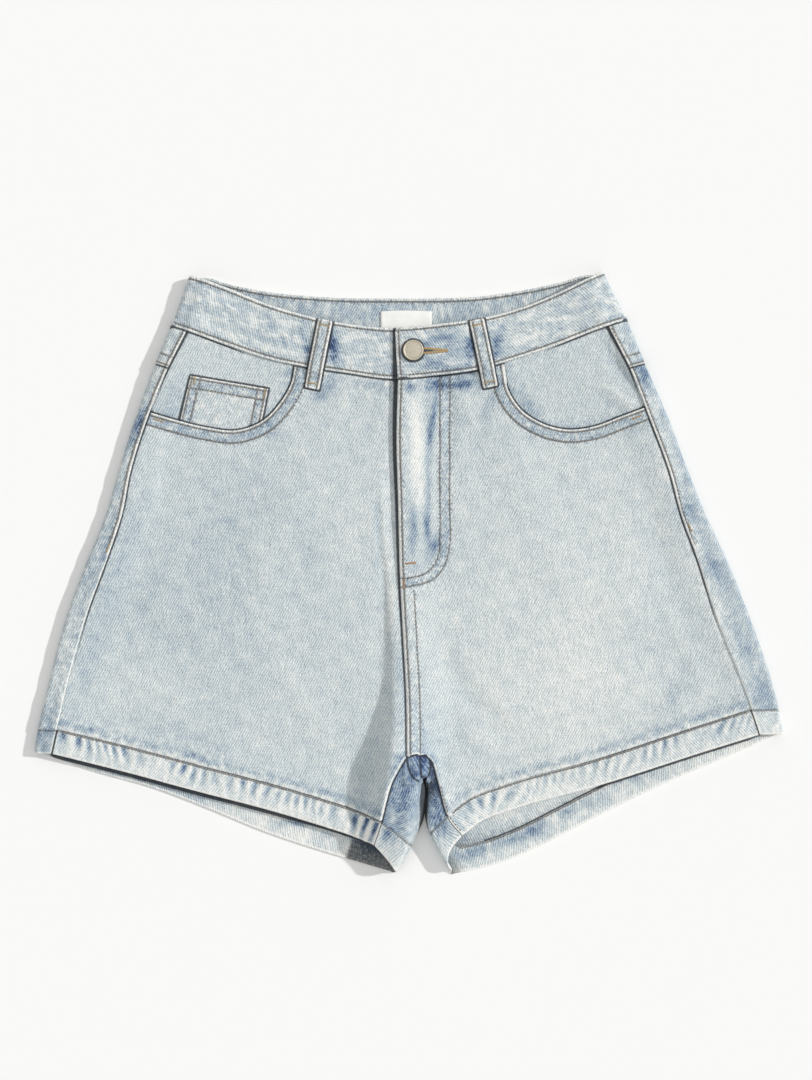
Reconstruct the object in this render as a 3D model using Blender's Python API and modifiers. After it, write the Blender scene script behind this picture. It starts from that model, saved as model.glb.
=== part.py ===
"""Denim shorts, laid flat with the front up.

The back rests on the floor at Z = 0, the waist points to +Y, and the wearer's right side is at -X.
Sizes are in millimetres and become metres where a mesh is made. Each cloth piece is a sheet of
rows of points on its outer face, which a Solidify modifier thickens towards the inside.
"""

import math

import bmesh
import bpy
import numpy as np
from mathutils import Matrix, Vector

MM = 0.001
MIDDLE_X = 0.25
MIDDLE_Y = -0.25

# Cloth
DENIM = 1.3
HEM_THICK = 2.4
BAND_THICK = 2.8
LOOP_THICK = 2.0
COIN_THICK = 1.2
LABEL_THICK = 1.0
GAP = 0.35
SEAM_GAP = 0.7
INSEAM_GAP = 1.6
LOOP_GAP = 0.7

# Heights of the front's outer face above the floor
MIDDLE_HEIGHT = 6.4
WAIST_HEIGHT = 10.4
SIDE_HEIGHT = 10.0
WAIST_SIDE_HEIGHT = 12.6
HEM_LIFT = 3.4
SIDE_REACH = 28.0
FOLD_SHARE = 0.43
ROUND_SHARE = 0.62

# Make
BAND_WIDTH = 41.5
BAND_PROUD = 1.2
HEM_WIDTH = 20.5
LAP = 7.0
LAP_STEP = 1.75
BAND_LAP_STEP = 3.7
BAND_UNDER_END = 24.0
BAND_OVER_END = -9.0
UNDERLAP = 8.0
LOOP_WIDTH = 12.0
LOOP_ARCH = 0.9
BUTTON_PLACE = (3.7, 180.8)
BUTTON_RADIUS = 8.5
SHANK_RADIUS = 2.4
BUTTONHOLE_END = 30.0
LABEL_HALF_WIDTH = 21.0
LABEL_MIDDLE = -2.0

# Side outline, a row for each level from the waist to the hem.
# y, right fold x, right side seam x, left side seam x, left fold x
OUTLINE = (
    (246, -178.2, -164.5, 145.5, 158.7),
    (202, -193.0, -177.4, 161.0, 179.5),
    (166, -208.5, -196.0, 180.0, 194.8),
    (130, -222.0, -211.0, 194.5, 210.8),
    (84, -236.7, -226.0, 211.8, 228.0),
    (47, -247.5, -233.5, 222.0, 243.0),
    (10, -262.5, -246.0, 235.6, 260.2),
    (-34, -279.0, -262.0, 249.8, 278.0),
    (-87, -293.3, -277.0, 270.5, 296.0),
    (-130, -303.0, -287.0, 285.5, 306.0),
    (-148, -306.0, -291.0, 291.0, 309.0),
)

# Waistband, a row for each place across. x, front seam y, front top y, back top y
WAIST = (
    (-190, 200.5, 246.0, 245.5),
    (-179, 196.8, 243.0, 242.7),
    (-150, 186.2, 233.0, 233.8),
    (-113, 173.9, 218.4, 226.3),
    (-83, 167.6, 209.6, 223.3),
    (-53, 163.2, 203.4, 221.6),
    (-12, 158.0, 199.6, 221.3),
    (19, 160.3, 201.8, 221.3),
    (57, 165.6, 207.2, 222.8),
    (85, 173.8, 214.0, 226.6),
    (122, 186.1, 228.4, 234.0),
    (150, 197.0, 242.0, 242.4),
    (176, 206.0, 253.0, 250.0),
)

# Edge of the left front at the fly and centre seam. y, x
CENTRE = (
    (160, -8.6),
    (109, -9.9),
    (59, -8.6),
    (0, -7.2),
    (-50, -4.7),
    (-100, -2.1),
    (-147.5, -1.5),
)

# Pocket mouths from the waist seam to the side seam. x, y
MOUTH_RIGHT = (
    (-92.6, 169.6),
    (-95.5, 155.0),
    (-104.0, 140.0),
    (-120.0, 123.8),
    (-140.0, 116.6),
    (-165.0, 119.0),
    (-190.0, 125.0),
    (-210.8, 131.0),
)
MOUTH_LEFT = (
    (76.7, 171.2),
    (81.6, 148.0),
    (92.3, 132.8),
    (108.0, 122.6),
    (129.0, 117.2),
    (151.0, 119.7),
    (172.6, 127.6),
    (192.3, 135.0),
)

# Front hem edges from the inseam to the side seam. x, y
HEM_RIGHT = (
    (-28.3, -219.8),
    (-59.5, -209.4),
    (-110.0, -194.0),
    (-172.6, -177.6),
    (-232.5, -161.5),
    (-290.6, -147.0),
)
HEM_LEFT = (
    (43.9, -213.2),
    (60.0, -201.5),
    (84.0, -192.6),
    (154.6, -173.0),
    (239.0, -146.0),
    (286.0, -131.4),
)

# Where the back panel turns up round the inner leg, a row for each section from the crotch to the
# hem edge. seam x, seam y on the top face, fold x, fold y, bow of the section towards the gap,
# slip of the underside down the leg
INNER_RIGHT = (
    (-1.5, -147.5, 10.5, -165.5, 0.0, 0.0),
    (-8.0, -158.0, 10.2, -172.5, 0.0, 0.0),
    (-14.0, -170.0, 9.2, -182.0, 0.0, 0.0),
    (-18.5, -186.0, 6.6, -201.0, 0.0, 0.0),
    (-22.0, -200.3, 3.0, -220.0, 1.0, 5.0),
    (-28.3, -219.8, -9.4, -243.0, 1.0, 7.0),
)
INNER_LEFT = (
    (-1.5, -147.5, 10.5, -165.5, 0.0, 0.0),
    (9.0, -146.8, 13.8, -166.5, 0.0, 0.0),
    (18.5, -152.5, 15.6, -173.0, 0.0, 0.0),
    (24.5, -172.0, 14.8, -187.0, 0.0, 0.0),
    (31.6, -197.0, 16.8, -211.5, 1.0, 4.0),
    (43.9, -213.2, 34.0, -243.0, 6.0, 7.5),
)

# How far the back's hem hangs below the straight line between its ends.
# share of the way from the inner leg to the side, right leg, left leg
HEM_SAG = (
    (0.0, 0.0, 0.0),
    (0.12, 1.4, 6.8),
    (0.25, 2.6, 8.2),
    (0.36, 2.4, 5.8),
    (0.5, -0.6, 2.8),
    (0.68, -2.8, 0.4),
    (0.85, 0.0, 0.8),
    (1.0, 0.0, 0.0),
)
STITCH_ROW = 4
EDGE_ROW = 5

# The ridge that the closed crotch pushes up. y, x of its crest, height, reach to the right side,
# reach to the left side
RIDGE = (
    (60, -9.0, 0.0, 10.0, 30.0),
    (0, -10.0, 1.2, 10.0, 35.0),
    (-50, -11.0, 4.0, 11.0, 42.0),
    (-95, -11.0, 9.5, 14.0, 50.0),
    (-125, -10.5, 14.5, 22.0, 52.0),
    (-155, -12.0, 18.5, 28.0, 46.0),
    (-185, -17.0, 15.5, 30.0, 44.0),
    (-205, -21.0, 11.5, 31.0, 50.0),
    (-245, -28.0, 8.0, 30.0, 60.0),
)

# Soft folds. x, y of the middle, bearing in degrees from +X, half length, half width, height
FOLDS = (
    (-20, 15, 87, 70, 7, -1.3),
    (172, 166, 118, 30, 7, -1.9),
    (186, 158, 118, 26, 6, 1.4),
    (18, 132, 92, 26, 6, 1.3),
    (32, 126, 96, 30, 5, -1.0),
    (-150, -40, 32, 70, 20, 1.4),
    (-190, -75, 24, 60, 16, -1.1),
    (-95, 60, 64, 60, 18, 1.2),
    (-205, 50, 74, 60, 10, -1.1),
    (140, -10, 148, 75, 22, 1.4),
    (195, -60, 158, 60, 17, -1.1),
    (95, 70, 112, 60, 18, 1.1),
    (60, -110, 128, 50, 13, -1.3),
    (205, 25, 106, 60, 10, -1.0),
)

RIGHT = {
    "name": "right",
    "sign": -1,
    "fold_column": 1,
    "seam_column": 2,
    "mouth": MOUTH_RIGHT,
    "hem": HEM_RIGHT,
    "inner": INNER_RIGHT,
    "band_fold": ((-193.1, 201.5), (-179.0, 242.7)),
    "band_seam": (-179.2, -165.5),
    "stitch_level": -127.5,
    "edge_level": -147.0,
    "saddle_level": -82.0,
    "sag_column": 1,
}
LEFT = {
    "name": "left",
    "sign": 1,
    "fold_column": 4,
    "seam_column": 3,
    "mouth": MOUTH_LEFT,
    "hem": HEM_LEFT,
    "inner": INNER_LEFT,
    "band_fold": ((177.4, 206.2), (158.7, 246.0)),
    "band_seam": (161.0, 145.5),
    "stitch_level": -111.0,
    "edge_level": -131.4,
    "saddle_level": -72.0,
    "sag_column": 2,
}

# Centre back, yoke and section counts
CENTRE_BACK_TOP = -5.0
YOKE_SIDE = 171.0
YOKE_CENTRE = 118.0
YOKE_DIP = 6.0
SEAM_DROP = 4.7
FRONT_COLUMNS = 18
WAIST_COLUMNS = 6
FRONT_ROWS = 25
CROTCH_ROW = 20
FLAT_STEPS = 2
ARC_STEPS = 5
FLOOR_STEPS = 8
UPPER_ROWS = 9
LOWER_ROWS = 5


# ---------------------------------------------------------------- reading the tables


def slopes(at, values):
    """Tangents for a smooth curve through the values, one row for each place."""
    steps = np.diff(at)[:, None]
    rates = np.diff(values, axis=0) / steps
    inner = (rates[:-1] * steps[1:] + rates[1:] * steps[:-1]) / (steps[:-1] + steps[1:])
    return np.vstack([rates[:1], inner, rates[-1:]])


def smooth_read(at, values, places):
    """Values at the places, on the smooth curve that passes through the given values."""
    at = np.asarray(at, float)
    values = np.asarray(values, float)
    tangents = slopes(at, values)
    places = np.clip(places, at[0], at[-1])
    k = np.clip(np.searchsorted(at, places, side="right") - 1, 0, len(at) - 2)
    step = (at[k + 1] - at[k])[:, None]
    t = (places[:, None] - at[k][:, None]) / step
    return (
        values[k] * (1 + 2 * t) * (1 - t) ** 2
        + tangents[k] * step * t * (1 - t) ** 2
        + values[k + 1] * (3 - 2 * t) * t**2
        + tangents[k + 1] * step * (t - 1) * t**2
    )


def column(table, number, places):
    """One column of a table, read smoothly at places in its first column."""
    rows = np.array(sorted(table), float)
    places = np.asarray(places, float)
    return smooth_read(rows[:, 0], rows[:, number : number + 1], places.ravel())[:, 0].reshape(
        places.shape
    )


def rail(points, shares):
    """Points at shares of the length of a smooth curve through the given points."""
    points = np.asarray(points, float)
    chords = np.concatenate([[0], np.cumsum(np.linalg.norm(np.diff(points, axis=0), axis=1))])
    fine = smooth_read(chords, points, np.linspace(0, chords[-1], 400))
    lengths = np.concatenate([[0], np.cumsum(np.linalg.norm(np.diff(fine, axis=0), axis=1))])
    wanted = np.asarray(shares) * lengths[-1]
    return np.stack([np.interp(wanted, lengths, fine[:, k]) for k in range(fine.shape[1])], axis=1)


def beside(points, distance):
    """A plan curve moved sideways, to the left of its run when the distance is positive."""
    run = np.gradient(points, axis=0)
    run /= np.linalg.norm(run, axis=1)[:, None]
    return points + distance * np.stack([-run[:, 1], run[:, 0]], axis=1)


def ramp(value, low, high):
    """0 below low, 1 above high and a smooth rise between."""
    t = np.clip((np.asarray(value, float) - low) / (high - low), 0, 1)
    return t * t * (3 - 2 * t)


def fold_x(side, y):
    return column(OUTLINE, side["fold_column"], y)


def seam_x(side, y):
    return column(OUTLINE, side["seam_column"], y)


def centre_x(y):
    return column(CENTRE, 1, y)


def waist_seam_y(x):
    return column(WAIST, 1, x)


def front_top_y(x):
    return column(WAIST, 2, x)


def back_top_y(x):
    return column(WAIST, 3, x)


# ---------------------------------------------------------------- height of the front


def ridge_height(x, y):
    """The crotch ridge: steep towards the right leg, long towards the left leg."""
    crest, height, right_reach, left_reach = (column(RIDGE, k, y) for k in (1, 2, 3, 4))
    off = x - crest
    return height * np.where(off < 0, 1 - ramp(-off, 0, right_reach), 1 - ramp(off, 0, left_reach))


def fold_heights(x, y):
    """The sum of the soft folds."""
    total = np.zeros_like(x)
    for middle_x, middle_y, bearing, half_length, half_width, height in FOLDS:
        turn = math.radians(bearing)
        along = (x - middle_x) * math.cos(turn) + (y - middle_y) * math.sin(turn)
        across = (y - middle_y) * math.cos(turn) - (x - middle_x) * math.sin(turn)
        total += height * np.exp(-((along / half_length) ** 2) - (across / half_width) ** 2)
    return total


def hem_y(x):
    """The front hem edges as one line across, with the gap between the legs bridged."""
    rows = [*HEM_RIGHT[::-1], *HEM_LEFT]
    return np.interp(x, [row[0] for row in rows], [row[1] for row in rows])


def front_height(x, y):
    """Height of the front's outer face above the floor."""
    x, y = np.asarray(x, float), np.asarray(y, float)
    waist = ramp(y, 110, 175)
    middle = MIDDLE_HEIGHT + (WAIST_HEIGHT - MIDDLE_HEIGHT) * waist
    middle = middle + HEM_LIFT * (1 - ramp(y - hem_y(x), 5, 55))
    edge = SIDE_HEIGHT + (WAIST_SIDE_HEIGHT - SIDE_HEIGHT) * waist
    to_fold = np.minimum(x - fold_x(RIGHT, y), fold_x(LEFT, y) - x)
    near = np.exp(-((np.maximum(to_fold - 8, 0) / SIDE_REACH) ** 2))
    quiet = 1 - 0.85 * near
    return middle + (edge - middle) * near + ridge_height(x, y) + quiet * fold_heights(x, y)


def lap_share(y):
    """1 where the left front lies over the right one, 0 at the crotch."""
    return ramp(y, -118, -95)


def lap_rise(x, y):
    """How far the left front stands up to clear the right front under it."""
    beyond = x - centre_x(y)
    return LAP_STEP * ramp(y, -140, -122) * (1 - ramp(beyond, LAP + 2, LAP + 34))


# ---------------------------------------------------------------- sections


def with_height(plan, rise=0.0):
    """Plan points lifted to the front's outer face."""
    z = front_height(plan[..., 0], plan[..., 1]) + rise
    return np.concatenate([plan, z[..., None]], axis=-1)


def turned_under(seam, fold, height, bow=0.0, sign=1, slip=0.0):
    """Points from a seam on the top face, round the fold and down to the floor."""
    seam, fold = np.asarray(seam, float), np.asarray(fold, float)
    reach = np.linalg.norm(seam - fold)
    inward = (seam - fold) / reach
    radius = min(FOLD_SHARE * height, ROUND_SHARE * reach)
    angles = np.radians(np.linspace(90, -90, ARC_STEPS + 1))
    share = np.linspace(0, 1, FLAT_STEPS + 1)[:-1]
    off = np.concatenate([reach + (radius - reach) * share, radius * (1 - np.cos(angles))])
    z = np.concatenate(
        [
            height + (2 * radius - height) * ramp(share, 0, 1),
            radius * (1 + np.sin(angles)),
        ]
    )
    plan = fold + off[:, None] * inward
    plan[:, 0] += sign * bow * np.sin(math.pi * np.clip(off / reach, 0, 1)) * (z > radius)
    plan[:, 1] -= slip * (1 - np.clip(z / radius, 0, 1)) ** 2
    return np.column_stack([plan, z])


def front_sheet(side):
    """Rows of the front panel, each from the centre or inseam to the side seam."""
    sign = side["sign"]
    mouth = rail(side["mouth"], np.linspace(0, 1, FRONT_COLUMNS - WAIST_COLUMNS + 1))
    start = centre_x(158.0) + (0 if sign > 0 else LAP)
    across = np.linspace(start, side["mouth"][0][0], WAIST_COLUMNS + 1)
    top = np.vstack([np.column_stack([across, waist_seam_y(across)])[:-1], mouth])
    top[:, 1] -= GAP
    stitch = hem_lines(side)[0]
    stitch[:, 1] += SEAM_GAP
    shares = np.linspace(0, STITCH_ROW, FRONT_ROWS - CROTCH_ROW + 1)
    lower = beside(inner_rows(side, shares)[:, :2], sign * INSEAM_GAP)
    levels = np.linspace(top[0, 1], lower[0, 1], CROTCH_ROW + 1)[:-1]
    lapped = lap_share(levels)
    lap = (LAP * lapped if sign < 0 else 0) + sign * SEAM_GAP * (1 - lapped)
    centre = np.column_stack([centre_x(levels) + lap, levels])
    inner = np.vstack([centre, lower])
    inner[-1] = stitch[0] + np.array([sign, 1]) * INSEAM_GAP
    levels = np.linspace(top[-1, 1], stitch[-1, 1], FRONT_ROWS + 1)
    outer = np.column_stack([seam_x(side, levels) - sign * SEAM_GAP, levels])
    stitch[-1] = outer[-1]
    stitch[0] = inner[-1]
    top[-1] = outer[0]
    plan = coons(top, stitch, inner, outer)
    rise = lap_rise(plan[..., 0], plan[..., 1]) if sign > 0 else 0
    return with_height(plan, rise)


def hem_lines(side):
    """The front hem's stitch line and edge, each from the inseam to the side seam."""
    shares = np.linspace(0, 1, FRONT_COLUMNS + 1)
    edge = rail(side["hem"], shares)
    stitch = beside(edge, side["sign"] * HEM_WIDTH)
    lines = []
    for line, row, level in ((stitch, STITCH_ROW, "stitch_level"), (edge, EDGE_ROW, "edge_level")):
        first = np.array(side["inner"][row][:2])
        last = np.array([float(seam_x(side, side[level])), side[level]])
        off = (1 - shares)[:, None] ** 4 * (first - line[0]) + shares[:, None] ** 4 * (
            last - line[-1]
        )
        lines.append(line + off)
    return lines


def coons(top, bottom, first, last):
    """A patch between four plan curves, as rows from top to bottom."""
    u = np.linspace(0, 1, len(top))[None, :, None]
    v = np.linspace(0, 1, len(first))[:, None, None]
    across = (1 - v) * top[None] + v * bottom[None]
    down = (1 - u) * first[:, None] + u * last[:, None]
    corners = (1 - u) * ((1 - v) * top[0] + v * bottom[0]) + u * (
        (1 - v) * top[-1] + v * bottom[-1]
    )
    return across + down - corners


def outer_section(side, level):
    """The turn from the side seam round the fold to the floor, at one level."""
    drop = SEAM_DROP * ramp(level, 90, 200)
    seam = np.array([float(seam_x(side, level - drop)), level - drop])
    fold = np.array([float(fold_x(side, level)), level])
    return turned_under(seam, fold, float(front_height(*seam)))


def inner_rows(side, shares):
    """The inner leg's table read smoothly; shares run from 0 at the crotch to 5 at the hem edge."""
    rows = np.array(side["inner"], float)
    return smooth_read(np.arange(len(rows)), rows, np.asarray(shares, float))


def inner_section(side, share):
    """The turn round the inner leg, from the inseam to the floor."""
    row = inner_rows(side, [share])[0]
    height = float(front_height(row[0], row[1]))
    return turned_under(row[:2], row[2:4], height, row[4], -side["sign"], row[5])


def hem_sag(side):
    """The back hem's sag at each floor point from the side to the inner leg."""
    from_inner = np.linspace(1, 0, FLOOR_STEPS + 1)[1:-1]
    return column(HEM_SAG, side["sag_column"], from_inner)


def yoke_dip():
    """The yoke seam's dip at each floor point from the side to the centre back."""
    across = np.linspace(0, 1, FLOOR_STEPS + 1)[1:-1]
    return YOKE_DIP * 4 * across * (1 - across)


def across_floor(first, last, sag):
    """Floor points between two floor points, without the two themselves."""
    share = np.linspace(0, 1, FLOOR_STEPS + 1)[1:-1, None]
    plan = first[:2] + (last[:2] - first[:2]) * share
    plan[:, 1] -= sag
    return np.column_stack([plan, np.zeros(len(plan))])


def back_row(side, level, inner, sag):
    """A row of the back from the side seam, under, to the centre back or up to the inseam."""
    outer = outer_section(side, level)
    last = inner[::-1]
    return np.vstack([outer, across_floor(outer[-1], last[0], sag), last])


def back_hem_row(side, share):
    """A row of the back's hem: share 0 is its stitch line, a hem's width from its edge at 1."""
    edge = back_row(side, side["edge_level"], inner_section(side, EDGE_ROW), hem_sag(side))
    level = side["stitch_level"] + (side["edge_level"] - side["stitch_level"]) * share
    row = back_row(side, level, inner_section(side, STITCH_ROW + share), 0)
    first = FLAT_STEPS + ARC_STEPS
    last = first + FLOOR_STEPS
    moved = beside(edge[first : last + 1, :2], -side["sign"] * HEM_WIDTH * (1 - share))
    row[first + 1 : last, :2] = moved[1:-1]
    return row


def centre_back(side, y):
    """A point of the centre back seam on the floor, half a gap to this side of it."""
    low = inner_section(side, 0)[-1]
    x = CENTRE_BACK_TOP + (low[0] - CENTRE_BACK_TOP) * (180 - y) / (180 - low[1])
    return np.array([[x + side["sign"] * GAP / 2, y, 0.0]])


def back_sheet(side):
    """Rows of the back panel, from the yoke seam to the hem's stitch line."""
    saddle = inner_section(side, 0)
    saddle[:, 0] += side["sign"] * 0.7 * GAP
    rows = []
    for k in range(UPPER_ROWS):
        share = k / UPPER_ROWS
        level = YOKE_SIDE - GAP + (side["saddle_level"] - YOKE_SIDE) * share
        y = YOKE_CENTRE - GAP + (saddle[-1, 1] - YOKE_CENTRE) * share
        rows.append(back_row(side, level, centre_back(side, y), yoke_dip() * (1 - share)))
    for k in range(LOWER_ROWS):
        share = k / LOWER_ROWS
        level = side["saddle_level"] + (side["stitch_level"] - side["saddle_level"]) * share
        inner = inner_section(side, STITCH_ROW * share) if k else saddle
        rows.append(back_row(side, level, inner, hem_sag(side) * share))
    last = back_hem_row(side, 0)
    last[:, 1] += INSEAM_GAP
    return [*rows, last]


def yoke_sheet(side, steps=3):
    """Rows of the yoke, from the waist seam to the yoke seam."""
    waist = waist_section(side, 0)
    waist[:, 1] -= SEAM_GAP
    x = np.linspace(waist[-1, 0], CENTRE_BACK_TOP + side["sign"] * GAP / 2, FLOOR_STEPS + 1)[1:]
    floor = np.column_stack([x, back_waist_y(x, 0) - INSEAM_GAP, np.zeros(len(x))])
    first = np.vstack([waist, floor])
    centre = centre_back(side, YOKE_CENTRE + GAP / 2)
    last = back_row(side, YOKE_SIDE + GAP / 2, centre, yoke_dip())
    return [first + (last - first) * k / steps for k in range(steps + 1)]


def hem_sheet(side, steps=2):
    """Closed rows round the leg, from the stitch line to the hem edge."""
    stitch, edge = hem_lines(side)
    rows = []
    for k in range(steps + 1):
        share = k / steps
        back = back_hem_row(side, share)
        front = with_height(stitch + (edge - stitch) * share)
        front[0], front[-1] = back[-1], back[0]
        rows.append(np.vstack([back[:-1], front[:-1]]))
    return rows


def waist_section(side, share):
    """The waistband's turn at the side, at a share of its width up from the seam."""
    low, high = (np.array(place, float) for place in side["band_fold"])
    x = side["band_seam"][0] + (side["band_seam"][1] - side["band_seam"][0]) * share
    plan = np.array([x, float(band_front_y(x, share))])
    return turned_under(plan, low + (high - low) * share, float(front_height(*plan)) + BAND_PROUD)


def back_waist_y(x, share):
    """Height up the back waistband, met smoothly by the turns at the sides."""
    ends = [waist_section(side, share)[-1] for side in (RIGHT, LEFT)]
    straight = np.interp(x, [end[0] for end in ends], [end[1] for end in ends])
    near = ramp(np.minimum(x - ends[0][0], ends[1][0] - x), 0, 22)
    return straight + (back_top_y(x) - BAND_WIDTH * (1 - share) - straight) * near


def band_sheet(steps=2):
    """Rows of the waistband, each round from the end under the lap to the end over it."""
    rows = []
    for k in range(steps + 1):
        share = k / steps
        runs = []
        for side in (RIGHT, LEFT):
            section = waist_section(side, share)
            end = BAND_UNDER_END if side is RIGHT else BAND_OVER_END - 2.2 * share
            x = np.linspace(end, section[0, 0], 15)[:-1]
            front = np.column_stack([x, band_front_y(x, share)])
            lap = 0 if side is RIGHT else band_lap_rise(x)
            runs.append(np.vstack([with_height(front, BAND_PROUD + lap), section]))
        x = np.linspace(runs[0][-1, 0], runs[1][-1, 0], 14)[1:-1]
        back = np.column_stack([x, back_waist_y(x, share), np.zeros(len(x))])
        rows.append(np.vstack([runs[0], back, runs[1][::-1]]))
    return rows


def band_lap_rise(x):
    """How far the waistband's upper end stands up to clear the end under it."""
    return BAND_LAP_STEP * (1 - ramp(x, 31, 80)) * (np.asarray(x) > -13)


def band_front_y(x, share):
    """Height up the front waistband: share 0 is its seam and 1 its top edge."""
    low, high = waist_seam_y(x), front_top_y(x)
    return low + (high - low) * share


def facing_sheet(side, columns=9, rows=7):
    """Rows of the pocket facing, which runs on under the front panel."""
    sign = side["sign"]
    mouth = rail(side["mouth"], np.linspace(0, 1, 41))
    under = beside(mouth, sign * -UNDERLAP) if sign > 0 else beside(mouth, UNDERLAP)
    under = under[under[:, 1] < waist_seam_y(under[:, 0]) - GAP]
    across = np.linspace(under[0, 0], side["band_seam"][0] - sign * GAP, columns + 1)
    top = np.column_stack([across, waist_seam_y(across) - GAP])
    low = under[-1, 1]
    levels = np.linspace(top[-1, 1], low, rows + 1)
    outer = np.column_stack([seam_x(side, levels) - sign * GAP, levels])
    corner = len(under) * 2 // 5
    inner = rail(under[: corner + 1], np.linspace(0, 1, rows + 1))
    bottom = rail(under[corner:], np.linspace(0, 1, columns + 1))
    inner[0] = top[0]
    bottom[-1] = outer[-1]
    bottom[0] = inner[-1]
    return with_height(coons(top, bottom, inner, outer), -DENIM - GAP)


def coin_sheet(columns=6, rows=5):
    """Rows of the coin pocket, which lies on the right facing above the pocket mouth."""
    mouth = rail(MOUTH_RIGHT, np.linspace(0.3, 1, 60))[::-1]
    u = np.linspace(0, 1, columns + 1)
    top = np.column_stack([-177.5 + 63.1 * u, 160.7 - 10.6 * u])
    x = -186.0 + 65.0 * u
    bottom = np.column_stack([x, np.interp(x, mouth[:, 0], mouth[:, 1]) + 1.0])
    v = np.linspace(0, 1, rows + 1)[:, None, None]
    plan = (1 - v) * top[None] + v * bottom[None]
    return with_height(plan, -DENIM + COIN_THICK)


def loop_sheet(top, bottom, rows=9):
    """Rows of a belt loop, from above the waistband's top edge to below its seam."""
    top, bottom = np.array(top, float), np.array(bottom, float)
    run = (bottom - top) / np.linalg.norm(bottom - top)
    side = np.array([-run[1], run[0]]) * LOOP_WIDTH / 2
    made = []
    for k in range(rows + 1):
        share = k / rows
        middle = top + (bottom - top) * share
        plan = np.array([middle - side, middle, middle + side])
        clear = middle[1] - float(waist_seam_y(middle[0]))
        base = (BAND_PROUD + band_lap_rise(middle[0])) * ramp(clear, -6, -1.5)
        base += LOOP_THICK + LOOP_GAP
        arch = LOOP_ARCH * ramp(share, 0, 0.15) * (1 - ramp(share, 0.72, 0.95))
        made.append(with_height(plan, base + arch))
    return made


def label_sheet():
    """Rows of the label, which lies on the inside of the back waistband."""
    rows = []
    for y in (184.0, 193.0, 202.0, 211.0):
        x = np.linspace(-LABEL_HALF_WIDTH, LABEL_HALF_WIDTH, 7)
        bulge = 1.6 * (1 - (x / LABEL_HALF_WIDTH) ** 2)
        z = BAND_THICK + GAP + LABEL_THICK + 0.4 * bulge
        rows.append(np.column_stack([x + LABEL_MIDDLE, y + 0.4 * bulge, z]))
    return rows


# ---------------------------------------------------------------- making the objects


def placed(x, y, z):
    """A point in metres from the frame's origin, the middle of the whole garment on the floor."""
    return Vector((x - MIDDLE_X, y - MIDDLE_Y, z)) * MM


def clear_scene():
    for thing in list(bpy.data.objects):
        bpy.data.objects.remove(thing, do_unlink=True)


def collection(name):
    made = bpy.data.collections.new(name)
    bpy.context.scene.collection.children.link(made)
    return made


def material(name, colour, roughness, metallic=0.0):
    made = bpy.data.materials.new(name)
    made.use_nodes = True
    shader = made.node_tree.nodes["Principled BSDF"]
    shader.inputs["Base Color"].default_value = (*colour, 1.0)
    shader.inputs["Roughness"].default_value = roughness
    shader.inputs["Metallic"].default_value = metallic
    return made


def cloth(name, rows, thickness, finish, closed=False, flip=False):
    """One cloth wall. Rows may grow longer, where a panel widens past a corner."""
    bm = bmesh.new()
    grid = [[bm.verts.new(placed(*point)) for point in row] for row in rows]
    for upper, lower in zip(grid, grid[1:]):
        count = min(len(upper), len(lower))
        for i in range(count if closed else count - 1):
            j = (i + 1) % count
            corners = (upper[i], lower[i], lower[j], upper[j])
            bm.faces.new(corners[::-1] if flip else corners)
    mesh = bpy.data.meshes.new(name)
    bm.to_mesh(mesh)
    bm.free()
    mesh.materials.append(finish)
    mesh.shade_smooth()
    made = bpy.data.objects.new(name, mesh)
    shorts.objects.link(made)
    wall = made.modifiers.new("wall", "SOLIDIFY")
    wall.thickness = thickness * MM
    wall.offset = -1
    wall.use_even_offset = True
    return made


def button(finish):
    """A tack button: domed rim and dished face, on a shank through the buttonhole."""
    x, y = BUTTON_PLACE
    under = float(front_height(x, y)) + BAND_PROUD
    over = under + BAND_LAP_STEP
    r = BUTTON_RADIUS
    profile = (
        (0.0, over + 3.2),
        (0.34 * r, over + 3.1),
        (0.62 * r, over + 2.8),
        (0.72 * r, over + 3.5),
        (0.88 * r, over + 3.6),
        (0.98 * r, over + 2.9),
        (r, over + 2.0),
        (0.92 * r, over + 1.1),
        (0.6 * r, over + 0.6),
        (SHANK_RADIUS, over + 0.6),
        (SHANK_RADIUS, under + GAP),
        (0.0, under + GAP),
    )
    mesh = bpy.data.meshes.new("button")
    points = [(radius * MM, 0.0, z * MM) for radius, z in profile]
    mesh.from_pydata(points, [(k, k + 1) for k in range(len(points) - 1)], [])
    mesh.materials.append(finish)
    made = bpy.data.objects.new("button", mesh)
    made.location = placed(x, y, 0.0)
    shorts.objects.link(made)
    turn = made.modifiers.new("turn", "SCREW")
    turn.steps = turn.render_steps = 28
    turn.use_merge_vertices = True
    turn.merge_threshold = 0.00001
    turn.use_normal_calculate = True
    return made


def buttonhole(band):
    """Cuts the keyhole through the upper end of the waistband."""
    x, y = BUTTON_PLACE
    base = float(front_height(x, y)) + BAND_PROUD + 0.45
    bm = bmesh.new()
    eye = bmesh.ops.create_cone(
        bm, cap_ends=True, segments=20, radius1=3.1 * MM, radius2=3.1 * MM, depth=20 * MM
    )
    bmesh.ops.translate(bm, verts=eye["verts"], vec=placed(x, y, base + 10))
    cut_with(band, bm, "buttonhole_eye")
    bm = bmesh.new()
    length = BUTTONHOLE_END - x - 1
    size = Matrix.Diagonal((length * MM, 1.4 * MM, 20 * MM, 1))
    middle = placed((x + 1 + BUTTONHOLE_END) / 2, y, base + 10)
    bmesh.ops.create_cube(bm, size=1.0, matrix=Matrix.Translation(middle) @ size)
    cut_with(band, bm, "buttonhole_slit")


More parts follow.
